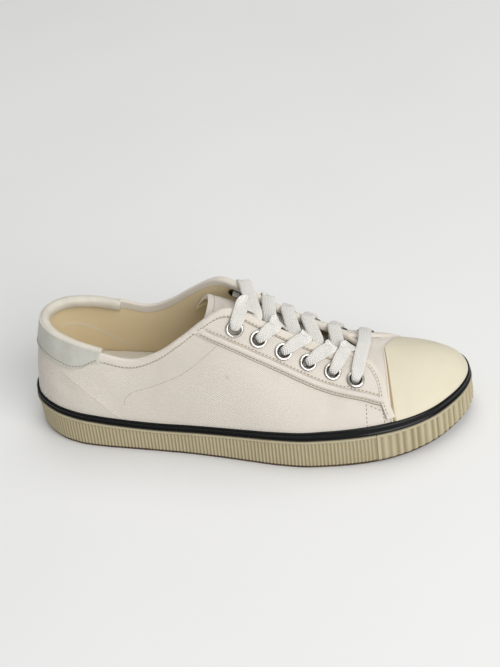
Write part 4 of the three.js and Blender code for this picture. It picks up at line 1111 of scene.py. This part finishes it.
# Round or flat cord along a path: an ellipse across the path, wide along the side direction
def cordAlong(path, rise, wide, thick, around=8, power=1.0):
    tangent = unit(np.gradient(path, axis=0))
    across = unit(np.cross(tangent, rise))
    up = np.cross(across, tangent)
    angle = np.arange(around) * 2 * np.pi / around
    c, s = np.cos(angle), np.sin(angle)
    c, s = np.sign(c) * np.abs(c) ** power, np.sign(s) * np.abs(s) ** power
    wide, thick = (np.broadcast_to(v, (len(path),))[:, None, None] for v in (wide, thick))
    rows = (path[:, None] + across[:, None] * c[None, :, None] * wide
            + up[:, None] * s[None, :, None] * thick)
    run = np.concatenate([[0], np.cumsum(np.linalg.norm(np.diff(path, axis=0), axis=-1))])
    flatU = np.concatenate([c, c[:1]])[None] * wide[:, 0]
    uv = np.stack([flatU, np.broadcast_to(run[:, None], flatU.shape)], -1)
    return tube(rows, uv)


makePiece("cap_cement_line", [capBead(capRear + 0.03, 0.25, 0.5)], seamRubber)
makePiece("cap_edge_piping", [capBead(capRear + 0.11, 0.2, 0.65)], tapeCloth)

# Ribbed wall and bumper
rubber = {
    "ribPitch": 2.3, "ribDepth": 0.7, "bumperPitch": 4.9, "bumperDepth": 1.15, "joint": 4.8,
    "jointGap": 0.15, "recess": 0.45, "lip": 1.4, "lean": 1.0, "bottom": 1.9,
    # share of the height between bottom and rib top, how much of the rib it carries, extra inset
    "ribRows": [(0, 0.55, 0.75), (0.03, 0.9, 0.3), (0.09, 1, 0.05), (0.3, 1, 0), (0.55, 1, 0),
                (0.8, 1, 0), (0.93, 1, 0.02), (0.975, 0.7, 0.08), (1, 0.15, 0.1)],
    # share of the lip's height, and its inset
    "lipRows": [(0.12, 0.92), (0.45, 0.75), (0.8, 0.85), (0.95, 1.05), (1, 1.35)],
}
edgeSamples = 4000
edgePlaces = np.linspace(0, fullRing, edgeSamples + 1)
edgeX, edgeY = soleEdge(edgePlaces)[:2]
edgeRun = np.concatenate([[0], np.cumsum(np.hypot(np.diff(edgeX), np.diff(edgeY)))])
edgeWhole = edgeRun[-1]


# Ring place at a length along the sole edge, any number of laps on
def placeAt(length):
    return np.interp(np.mod(length, edgeWhole), edgeRun, edgePlaces)


# Wall between two lengths of the edge: rounded ribs fade out under a plain lip at the top
def ribbedWall(start, end, pitch, depth, perRib, wide, uneven):
    ribs = int(round((end - start) / pitch))
    count = ribs * perRib + 1
    length = np.linspace(start, end, count)
    phase = np.linspace(0, ribs, count)
    w = placeAt(length)
    x0 = soleEdge(w)[0]
    rib = np.floor(phase + 0.5)
    wobble = uneven * np.sin(rib * 2.4 + 0.6 * np.sin(rib * 1.3))
    cosine = 0.5 - 0.5 * np.cos(2 * np.pi * phase)
    margin = np.minimum(length - start, end - length)
    valley = (cosine ** wide) * (1 + wobble) * (smoothstep(margin, 1.6, 3.0) if uneven else 1.0)
    bottom, top, sole = lift(x0) + rubber["bottom"], wallTop(x0), soleTop(x0)
    ribTop = top - rubber["lip"]
    rows = []
    tuck = tuckAt(x0)
    for share, carry, more in rubber["ribRows"]:
        z = bottom + (ribTop - bottom) * share
        inset = tuck * (1 - share) + rubber["lean"] * share + more + rubber["recess"] * (uneven == 0)
        # the third value, the share of the rib valley, is painted as shade in the grooves
        rows.append((z, inset + depth * valley * carry, carry * valley))
    for share, inset in rubber["lipRows"]:
        rows.append((ribTop + rubber["lip"] * share, np.full(count, inset), np.zeros(count)))
    outer, inner, groove = [], [], []
    for z, inset, dark in rows:
        x, y = soleEdge(w, inset)[:2]
        outer.append(np.stack([x, y, z], -1))
        x, y = soleEdge(w, shoe["wallThickness"] + tuck * (z < sole))[:2]
        inner.append(np.stack([x, y, z], -1))
        groove.append(dark)
    outer, inner, groove = np.stack(outer, 1), np.stack(inner, 1), np.stack(groove, 1)
    uv = np.stack(np.broadcast_arrays(length[:, None], outer[..., 2]), -1)
    return slab(outer, inner, uv, False, None, None, {"groove": np.clip(groove, 0, 1)})


# Ribbed wall round the heel, wide-ribbed bumper round the toe, with a joint on each side
def makeWall():
    first = np.interp(rubber["joint"], edgePlaces, edgeRun)
    last = np.interp(fullRing - rubber["joint"], edgePlaces, edgeRun)
    gap = rubber["jointGap"]
    side = ribbedWall(first + gap, last - gap, rubber["ribPitch"], rubber["ribDepth"], 8, 0.9, 0)
    front = ribbedWall(last + gap, edgeWhole + first - gap, rubber["bumperPitch"],
                       rubber["bumperDepth"], 16, 1.3, 0.35)
    makePiece("foxing_ribs", [side], creamRubber, ["foxing"], 60)
    makePiece("toe_bumper_ribs", [front], creamRubber, ["toe_bumper"], 60)


makeWall()


# Outsole and insole: plates from one side of the outline to the other
# Rim lines run round the plate; the top and bottom are spanned from side to side
def plate(levels, across=24, relief=None, count=260):
    w = np.linspace(0, halfRing, count)
    t = np.linspace(0, 1, across)[None]

    def face(level):
        inset, height = level
        sides = []
        for at in (w, fullRing - w):
            x0 = soleEdge(at)[0]
            x, y = soleEdge(at, inset(x0))[:2]
            sides.append(np.stack([x, y, height(x0)], -1)[:, None])
        return sides[0] * (1 - t[..., None]) + sides[1] * t[..., None]

    low, high = face(levels[0]), face(levels[-1])
    if relief is not None:
        low[..., 2] += relief(low)
    faces = [face(level) for level in levels]
    ring = np.stack([np.concatenate([g[:, 0], g[::-1, -1]], 0) for g in faces], 1)
    return [sheet(low, low[..., :2]), sheet(high, high[..., :2]),
            sheet(ring, lengthMap(ring, closedRows=True), True)]


tread = {"pitch": 6.2, "depth": 0.9, "wave": 14.0, "under": 3.0,
         "rim": [(2.1, 0), (1.7, 0.25), (1.5, 1.7), (3.0, 1.8)]}


# Wavy bars across the sole, none within a few millimetres of its edge
def treadRelief(grid):
    x, y = grid[..., 0], grid[..., 1]
    run = x + 2.4 * np.abs(np.mod(y / tread["wave"], 2) - 1)
    bar = smoothstep(np.cos(2 * np.pi * run / tread["pitch"]), -0.25, 0.25)
    edge = np.minimum(np.arange(grid.shape[1]), np.arange(grid.shape[1])[::-1])[None]
    inside = np.clip((edge - 1) / 1.0, 0, 1) * smoothstep(np.arange(grid.shape[0])[:, None], 3, 5)
    inside = inside * smoothstep(np.arange(grid.shape[0])[::-1][:, None], 3, 5)
    return tread["depth"] * bar * inside


# One level of the outsole: inset of its rim from the outline, and height over the floor's line
def soleLevel(inset, height):
    return (lambda x: inset + tuckAt(x)), (lambda x: lift(x) + height)


soleLevels = [soleLevel(inset, height) for inset, height in tread["rim"]]
soleLevels.append((lambda x: tread["under"] + 0 * x, soleTop))
makePiece("outsole_tread", plate(soleLevels, 40, treadRelief, 340), gumRubber,
          ["outsole"], 40)

pad = {"heel": 18.0, "fall": 11.0, "from": 0.3, "to": 0.62, "low": 0.3, "inset": 5.2,
       "rim": [(5.2, 0.9), (5.5, 0.25), (6.2, 0)]}


# Insole's height over the sole: high under the heel, S-curve down to the ball
def padHeight(x):
    return pad["heel"] - pad["fall"] * smoothstep(x / shoe["length"] + 0.5, pad["from"], pad["to"])


# One level of the insole's rounded rim: its inset, and how far it lies under the top
def padLevel(inset, below):
    return (lambda x: inset + 0 * x), (lambda x: soleTop(x) + padHeight(x) - below)


padLevels = [(lambda x: pad["inset"] + 0 * x, lambda x: soleTop(x) + pad["low"])]
padLevels += [padLevel(inset, below) for inset, below in pad["rim"]]
makePiece("insole_pad", plate(padLevels), insoleCloth, ["insole"], 40)
print("sole done")

# Heel patch and its padded roll
patch = {
    "rows": [(17.02, 7.6), (17.25, 9.6), (17.6, 15.2), (18.1, 18.3), (18.6, 18.2), (19.2, 17.8),
             (20.1, 18.0), (21, 20)],
    "start": 17.02, "thick": 0.95, "stitchIn": 1.7,
}


# How far the patch reaches below the edge: a curve through its rows
def patchDepth(w):
    rows = np.array(patch["rows"])
    k = np.maximum(fromTip(w), patch["start"])
    at = np.interp(k, rows[:, 0], np.arange(len(rows)))
    return alongRows(rows[:, 1], at)


# Panel on the face from its folded lower edge up to the roll, with a groove for the stitches
def makePatch():
    w = np.linspace(patch["start"], fullRing - patch["start"], 190)
    deep = patchDepth(w)[:, None]
    t = np.linspace(0, 1, 44)[None] ** 1.5
    distance = deep + 0.15 + (0.2 - deep) * t
    x = deep - distance
    ends = np.minimum(1, (fromTip(w) - patch["start"]) / 0.05 + 0.3)[:, None]
    height = 0.1 + patch["thick"] * smoothstep(x, -0.15, 0.2) * ends
    height = height + 0.2 * np.exp(-(((x - 0.6) / 0.4) ** 2)) - 0.3 * np.exp(-(((x - 1.8) / 0.45) ** 2))
    outer = atEdge(w[:, None], distance, height)
    inner = atEdge(w[:, None], distance, 0.05)
    return slab(outer, inner, lengthMap(outer))


heelRoll = {"middle": -2.45, "out": 3.3, "in": 3.5, "below": 2.6, "up": 3.5, "down": 4.2,
            "power": 0.9, "endShare": 0.12, "thinAtEnds": 0.14}


# Padded roll: a rounded profile round the edge, taller below its middle, closing at both ends
def makeRoll():
    w = np.linspace(patch["start"] - 0.02, fullRing - patch["start"] + 0.02, 170)
    angle = np.arange(28) * 2 * np.pi / 28
    k = np.minimum(fromTip(w) - patch["start"] + 0.03, 1)
    close = np.clip(k / heelRoll["endShare"], 0.0, 1) ** 0.5
    fat = 1 - heelRoll["thinAtEnds"] * (1 - smoothstep(fromTip(w), 17.1, 18.6))
    c, s = np.cos(angle)[None], np.sin(angle)[None]
    power = heelRoll["power"]
    wide = np.where(c > 0, heelRoll["out"], heelRoll["in"]) * np.abs(c) ** power * np.sign(c)
    offset = heelRoll["middle"] + wide * (fat * (0.8 + 0.2 * close))[:, None]
    tall = np.where(s > 0, heelRoll["up"], heelRoll["down"]) * np.sign(s) * np.abs(s) ** power
    distance = heelRoll["below"] - tall * (0.9 + 0.1 * close)[:, None]
    rows = atEdge(w[:, None], distance, offset)
    return tube(rows, lengthMap(rows, closedCols=True))


makePiece("heel_patch_leather", [makePatch()], patchLeather, ["heel_patch"], 50)
roll = makePiece("heel_roll", [makeRoll()], rollLeatherToneAndPaintedLight, ["heel_patch"], 60)

# Tongue: canvas over a tan lining, with a folded top edge
tongue = {
    "front": 5.6, "back": 12.85, "flankBack": 0.5, "thick": 2.2, "flank": 18, "inside": 3.4,
    "fold": 5.0, "proud": 0.45,
    # ring place and height of the crest over the line from edge to edge
    "crest": [(5.6, -6), (7, -9), (8, -12), (9, -14), (10, -15), (11, -14.5), (12, -11), (12.5, -6.5),
              (12.85, -3.2)],
}


# Arch from flank to flank: a Bezier line whose middle lies at the crest's height
def tongueFace(share, t, depth):
    k = tongue["front"] + (tongue["back"] - tongue["front"]) * share
    k = k + tongue["flankBack"] * smoothstep(share, 0.7, 1) * (2 * t - 1) ** 2
    crest = np.array(tongue["crest"])
    deep = -shoe["canvas"] - tongue["inside"] - depth
    left, right = atEdge(k, tongue["flank"], deep), atEdge(fullRing - k, tongue["flank"], deep)
    top = (atEdge(k, 0.0) + atEdge(fullRing - k, 0.0)) / 2
    top[..., 2] += np.interp(k, crest[:, 0], crest[:, 1]) - depth
    rise = (top - (left + right) / 2) / 0.75
    weights = bezier(t)[..., None]
    return (weights[..., 0, :] * left + weights[..., 1, :] * (left + rise)
            + weights[..., 2, :] * (right + rise) + weights[..., 3, :] * right)


# Outer cloth with a folded hem at its top, and a lining under it
def makeTongue():
    share, t = np.meshgrid(np.linspace(0, 1, 110), np.linspace(0, 1, 56), indexing="ij")
    outer = tongueFace(share, t, 0.0)
    uv = lengthMap(outer)
    fromTop = uv[-1:, :, 0] - uv[..., 0]
    hem = tongue["proud"] * smoothstep(-fromTop, -tongue["fold"] - 0.3, -tongue["fold"] + 0.3)
    cloth, inner = tongueFace(share, t, -hem), tongueFace(share, t, 1.1)
    makePiece("tongue_canvas", [slab(cloth, inner, uv)], canvasCloth, ["tongue"], 50)
    top, low = tongueFace(share, t, 1.15), tongueFace(share, t, tongue["thick"])
    makePiece("tongue_lining", [slab(top, low, uv)], liningCloth, ["tongue"], 50)


makeTongue()


# Eyelets: a rolled rim and a barrel, turned about each bore
def makeEyelets():
    hole, wall, outer, seat, rim = (eyelet[k] for k in ("hole", "wall", "outer", "seat", "rim"))
    turn = np.linspace(0, np.pi, 9)
    middle, half = (hole + outer) / 2, (outer - hole) / 2
    radius = list(middle + half * np.cos(turn))
    height = list(seat + 0.1 + rim * np.sin(turn) ** 0.8)
    radius += [hole, hole, hole + 0.4, hole + 1.6, hole + 1.6, hole + wall, hole + wall, outer]
    height += [0.4, -2.0, -2.4, -2.3, -1.9, -1.8, seat - 0.2, seat - 0.15]
    profile = np.stack([radius, height], -1)
    angle = np.arange(26) * 2 * np.pi / 26
    parts = []
    for at, out in zip(eyeletAt, eyeletOut):
        side = unit(np.cross(out, np.array([0.0, 0, 1])))
        other = np.cross(out, side)
        ring = side[None] * np.cos(angle)[:, None] + other[None] * np.sin(angle)[:, None]
        rows = at + ring[:, None] * profile[None, :, :1] + out * profile[None, :, 1:]
        parts.append(tube(rows, lengthMap(rows, True, True), True))
    names = ["eyelet_" + side + "_" + str(i + 1) for side in ("lateral", "medial") for i in range(6)]
    makePiece("eyelet_rings", parts, nickel, names, 60)


makeEyelets()

# Laces
lace = {
    "width": 8.3, "thick": 2.0,
    # near (lateral) strands: place at the throat edge, how far past it they rise, how deep they dive
    "lateral": [(11.14, -6.0, 9.0), (9.46, -3.4, 8.0), (8.36, -1.8, 8.0), (7.44, -1.8, 7.0),
                (6.84, -2.6, 5.0)],
    # far (medial) strands: place at their own edge, and where they go under the lateral edge
    "medial": [(10.88, 10.2), (9.62, 9.56), (8.84, 8.66), (8.1, 7.84), (7.24, 6.95)],
}


# Curve through rows of numbers, one column at a time
def catmull(points, count):
    points = np.asarray(points, dtype=float)
    at = np.linspace(0, len(points) - 1, count)
    return np.stack([alongRows(points[:, i], at) for i in range(points.shape[1])], -1)


# One strand along its stops; each is a point, the way up there, a width and a thickness
def strand(stops, count=90):
    path = catmull([np.concatenate([at, out, [wide, thick]]) for at, out, wide, thick in stops], count)
    return cordAlong(path[:, :3], unit(path[:, 3:6]), path[:, 6] / 2, path[:, 7] / 2, 20, 0.75)


# One stop of a strand, given by its ring place, distance below the edge and offset
def stopAt(w, distance, offset, wide=None, thick=None):
    w, distance = np.array([float(w)]), np.array([float(distance)])
    return (atEdge(w, distance, float(offset))[0], edgeNormal(w, np.maximum(distance, 0))[0],
            lace["width"] if wide is None else wide, lace["thick"] if thick is None else thick)


# Out of an eyelet, from under the panel over its rim towards the throat's edge
def fromEyelet(w, d, towards):
    return [
        stopAt(w, d, -4.0, 4.6, 2.6),
        stopAt(w, d - 0.2, -0.6, 5.2, 3.2),
        stopAt(w + (towards - w) * 0.06, d * 0.93, 2.4, 5.8, 3.0),
        stopAt(w + (towards - w) * 0.32, d * 0.68, 4.0, 7.6, 2.2),
        stopAt(w + (towards - w) * 0.66, d * 0.34, 3.6),
    ]


# From a lateral eyelet over the throat's edge, then down and under to the next medial one
def nearStrand(i):
    (w0, d0), (w1, d1) = eyelet["rows"][i], eyelet["rows"][i + 1]
    edge, past, deep = lace["lateral"][i]
    inside = w1 + 0.1
    near, far = atEdge(np.array([inside, fullRing - inside]), 0.0)
    middle = near * 0.5 + far * 0.5 - np.array([0, 0, deep])
    hump = stopAt(edge - 0.02, past, 3.0)
    stops = fromEyelet(w0, d0, edge) + [stopAt(edge, 0.6, 3.3), hump]
    tip = (hump[0] * 0.6 + middle * 0.4 + np.array([0, 0, 1.0]),
           unit(hump[1] + np.array([0, 0.8, 0.2])), lace["width"], lace["thick"])
    stops += [tip, (middle, np.array([0, 0.3, 1.0]), 7.4, lace["thick"]),
              stopAt(fullRing - inside, 6.0, -4.2, 7.0), stopAt(fullRing - w1, d1 - 1.0, -4.2, 5.0)]
    return strand(stops)


# From a medial eyelet across the throat, under the lateral edge and on to the next eyelet
def farStrand(i):
    (w0, d0), (w1, d1) = eyelet["rows"][i], eyelet["rows"][i + 1]
    edge, low = lace["medial"][i]
    flip = lambda w: fullRing - w
    facing = lambda stop, *up: (stop[0], unit(np.array(up)), lace["width"], lace["thick"])
    over = facing(stopAt(flip(edge), 1.0, 3.2), 0.1, 0.25, 1.0)
    past = facing(stopAt(flip(edge), -2.5, 2.8), 0.1, -0.15, 1.0)
    under = stopAt(low, -1.8, -2.2)
    stops = fromEyelet(flip(w0), d0, flip(edge)) + [over, past]
    middle = facing((stops[-1][0] * 0.5 + under[0] * 0.5 + np.array([0, 0, 0.8]),), 0.1, -0.3, 1.0)
    stops += [middle, facing(under, 0.0, -0.3, 1.0),
              stopAt(low, 5.0, -4.4, 7.2), stopAt(w1, d1 - 1.0, -4.2, 5.0)]
    return strand(stops)


# Five crossings of two strands, and the straight bar at the front
def makeLaces():
    for i in range(5):
        makePiece("lace_cross_" + str(i + 1), [nearStrand(i), farStrand(i)], cottonBraid,
                  ["lace_crossing_" + str(i + 1)], 60)
    w0, d0 = eyelet["rows"][-1]
    stops = [stopAt(w0, d0, -4.0, 4.6, 2.6), stopAt(w0, d0 - 0.2, -0.6, 5.2, 3.2),
             stopAt(w0, d0 * 0.96, 2.4, 5.8, 3.0), stopAt(w0, d0 * 0.8, 3.7, 7.8, 2.2)]
    stops += [stopAt(w0, d0 * t, 3.2) for t in (0.6, 0.4, 0.2, 0.02)]
    stops += [stopAt(fullRing - w0, d0 * t, 3.2) for t in (0.2, 0.4, 0.6)]
    stops += [stopAt(fullRing - w0, d0 * 0.8, 3.3, 7.4, 1.6),
              stopAt(fullRing - w0, d0 * 0.96, 2.2, 4.9, 2.2),
              stopAt(fullRing - w0, d0 - 0.2, -0.8, 4.4, 2.2),
              stopAt(fullRing - w0, d0, -4.0, 4.2, 1.8)]
    makePiece("lace_front_bar", [strand(stops, 120)], cottonBraid, ["lace_bar"], 60)


makeLaces()
print("laces done")

# Stitches: short capsules sunk into the cloth along each seam
stitch = {
    "pitch": 2.3, "length": 1.35, "radius": 0.3, "proud": 0.12,
    "fine": {"pitch": 1.5, "length": 1.0, "radius": 0.17},
    "vampRows": [[(5.15, 41.7), (5.12, 49), (5.1, 56.8)], [(4.45, 43.5), (4.42, 49), (4.4, 55)],
                 [(4.2, 45.5), (4.17, 49), (4.15, 52.6)], [(5.0, 43), (4.7, 44.2), (4.5, 45.2)]],
    "hemAt": 0.955,
}


# Capsules at even steps along a path; each is a six-sided bead tapered at both ends
def stitches(path, rise, pitch=None, length=None, radius=None):
    pitch = pitch or stitch["pitch"]
    length = length or stitch["length"]
    radius = radius or stitch["radius"]
    run = np.concatenate([[0], np.cumsum(np.linalg.norm(np.diff(path, axis=0), axis=-1))])
    count = max(2, int(run[-1] / pitch))
    at = (np.arange(count) + 0.5) * run[-1] / count
    read = lambda values, where: np.stack([np.interp(where, run, values[:, i]) for i in range(3)], -1)
    middle = read(path, at)
    along = unit(read(path, at + 0.3) - read(path, at - 0.3))
    up = unit(read(rise, at))
    across = unit(np.cross(along, up))
    up = np.cross(across, along)
    share = np.array([-0.5, -0.36, 0, 0.36, 0.5])
    size = np.array([0.35, 0.85, 1.0, 0.85, 0.35])
    angle = np.arange(6) * np.pi / 3
    wide = np.cos(angle)[None, None, :, None] * size[None, :, None, None] * radius
    tall = (np.sin(angle)[None, None, :, None] * 0.75 - 0.1) * size[None, :, None, None] * radius
    ring = (middle[:, None, None] + along[:, None, None] * (share * length)[None, :, None, None]
            + across[:, None, None] * wide + up[:, None, None] * tall)
    rows, cols = len(share), len(angle)
    body = gridQuads(rows, cols, closedCols=True).reshape(-1, 4)
    ends = np.array([[0, 1, 2, 3], [0, 3, 4, 5], [24, 25, 26, 27], [24, 27, 28, 29]])
    quads = np.concatenate([body, ends])
    many = (quads[None] + (np.arange(count) * rows * cols)[:, None, None]).reshape(-1, 4)
    flat = np.stack([np.tile(np.repeat(share * length, cols), count),
                     np.tile(angle, rows * count)], -1)
    return {"points": ring.reshape(-1, 3), "quads": many, "quadUv": flat[many]}


# Row of stitches through pairs of place and distance
def rowOn(pairs, offset, medial=False, count=60, creased=False, **sizes):
    w, distance = readPairs(pairs, count, medial)
    if creased:
        offset = offset + creaseField(atEdge(w, distance)[None])[0]
    return stitches(atEdge(w, distance, offset), edgeNormal(w, distance), **sizes)


# Row of stitches on the eyestay at a fixed distance from its low edge
def eyestayRow(x, side, first, last):
    a = np.linspace(first, last, 120)
    zero, one = np.zeros(120), np.ones(120)
    low, high = atEdge(*eyestayAt(a, zero, side)), atEdge(*eyestayAt(a, one, side))
    t = x / np.linalg.norm(high - low, axis=-1)
    w, distance = eyestayAt(a, t, side)
    out = edgeNormal(w, distance)
    height = eyestayHeight(np.full(120, x), np.full(120, 9.0)) + 0.12
    return stitches(atEdge(w, distance) + out * height[:, None], out)


# Seams: eyestay, tape, vamp, lining and tongue hem
def makeStitches():
    parts = []
    for side in ("lateral", "medial"):
        medial = side == "medial"
        parts.append(eyestayRow(eyestay["lowRow"], side, 1.2, 16.6))
        parts.append(eyestayRow(eyestay["highRow"], side, 2.0, 16.0))
        w = onSide(np.linspace(6.9, 16.9, 260), medial)
        distance = bindingWidth(w) - 1.0 + sinkAt(w)
        onTape = bindingBase(w) + binding["thick"] + stitch["proud"]
        parts.append(stitches(atEdge(w, distance, onTape), edgeNormal(w, distance)))
        edge, out, inward = frontLine(side, 90, 0.5, len(binding["front"]) - 1.6)
        parts.append(stitches(edge + inward * binding["frontStitch"] + out * binding["frontHigh"], out))
        for pairs in stitch["vampRows"]:
            parts.append(rowOn(pairs, stitch["proud"], medial))
        parts.append(rowOn(upper["liningSeam"], 0.02, medial, 120, True, **stitch["fine"]))
    t = np.linspace(0.06, 0.94, 120)
    share = np.full(len(t), stitch["hemAt"])
    hem = tongueFace(share, t, -0.5)
    parts.append(stitches(hem, unit(tongueFace(share, t, -1.5) - hem)))
    makePiece("seam_stitches", parts, threadCloth)


# Thin raised cords: the counter's seam outside, and the two seams of the heel lining inside
def makeSeamRidges():
    ridges = []
    for medial in (False, True):
        w, distance = readPairs(upper["counterSeam"], 70, medial)
        path = atEdge(w, distance, 0.02 + creaseField(atEdge(w, distance)[None])[0])
        ridges.append(cordAlong(path, edgeNormal(w, distance), 0.34, 0.2, 8))
        w, middle = readPairs(upper["heelSeam"], 70, not medial)
        for distance in (middle, middle + 1.5):
            path = atEdge(w, distance, -shoe["canvas"] - 0.05)
            ridges.append(cordAlong(path, -edgeNormal(w, distance), 0.2, 0.15, 8))
    makePiece("counter_seam_ridges", ridges, tapeCloth)


# Row along the patch's lower edge
def makePatchStitches():
    w = np.linspace(patch["start"] + 0.1, fullRing - patch["start"] - 0.1, 200)
    distance = patchDepth(w) - patch["stitchIn"]
    row = stitches(atEdge(w, distance, patch["thick"] + 0.05), edgeNormal(w, distance))
    makePiece("patch_stitches", [row], threadCloth)


makeStitches()
makeSeamRidges()
makePatchStitches()
print("stitches done")

# Stage, light and camera
stage = {
    "floor": tone(238, 238, 236), "haze": tone(235, 235, 234), "half": 6.0, "sky": 0.35,
    # name, place, aim, width in metres, power in watts
    "lamps": [("key", (1.2, -1.2, 1.2), (0.02, 0, 0.03), 1.5, 33.0),
              ("top", (0.0, 1.0, 2.6), (0.05, 0.3, 0.0), 2.0, 23.0)],
}


# Pale floor, even sky and two soft lamps
def makeStage():
    mesh = bpy.data.meshes.new("floor")
    size = stage["half"]
    corners = [(-size, -size, 0), (size, -size, 0), (size, size, 0), (-size, size, 0)]
    mesh.from_pydata(corners, [], [(0, 1, 2, 3)])
    material, g, put = newMaterial("paleFloor", Roughness=0.85, Specular_IOR_Level=0.2)
    haze = g.noise(g.place(), 3.0, 3.0)
    g.feed(put["Base Color"], g.mix(g.span(haze, 0.3, 0.7), stage["floor"], stage["haze"]))
    mesh.materials.append(material)
    floor = bpy.data.objects.new("floor", mesh)
    bpy.context.scene.collection.objects.link(floor)
    world = bpy.data.worlds.new("softSky")
    bpy.context.scene.world = world
    world.use_nodes = True
    world.node_tree.nodes["Background"].inputs[0].default_value = (1, 1, 1, 1)
    world.node_tree.nodes["Background"].inputs[1].default_value = stage["sky"]
    for name, at, aim, width, power in stage["lamps"]:
        lamp = bpy.data.lights.new(name, "AREA")
        lamp.size = width
        lamp.energy = power
        item = bpy.data.objects.new(name, lamp)
        item.location = at
        item.rotation_euler = (Vector(aim) - Vector(at)).to_track_quat("-Z", "Y").to_euler()
        bpy.context.scene.collection.objects.link(item)


makeStage()

view = {"at": (181.546, -664.965, 550.151), "forward": (-0.20813, 0.79035, -0.57622),
        "roll": -0.1381, "lens": 73.0, "sensor": 36.0, "near": 0.05, "far": 50.0}


# Camera from its place, its line of sight and its roll about that line
def makeCamera():
    data = bpy.data.cameras.new("camera")
    data.lens = view["lens"]
    data.sensor_width = view["sensor"]
    data.clip_start, data.clip_end = view["near"], view["far"]
    camera = bpy.data.objects.new("camera", data)
    forward = Vector(view["forward"]).normalized()
    right = forward.cross(Vector((0, 0, 1))).normalized()
    up = right.cross(forward)
    c, s = math.cos(view["roll"]), math.sin(view["roll"])
    right, up = right * c + up * s, up * c - right * s
    turn = Matrix((right, up, -forward)).transposed()
    place = Vector((np.array(view["at"]) + shift) * 0.001)
    camera.matrix_world = Matrix.Translation(place) @ turn.to_4x4()
    bpy.context.scene.collection.objects.link(camera)
    bpy.context.scene.camera = camera


makeCamera()
bpy.context.scene.view_settings.view_transform = "Standard"
bpy.context.scene.view_settings.look = "None"
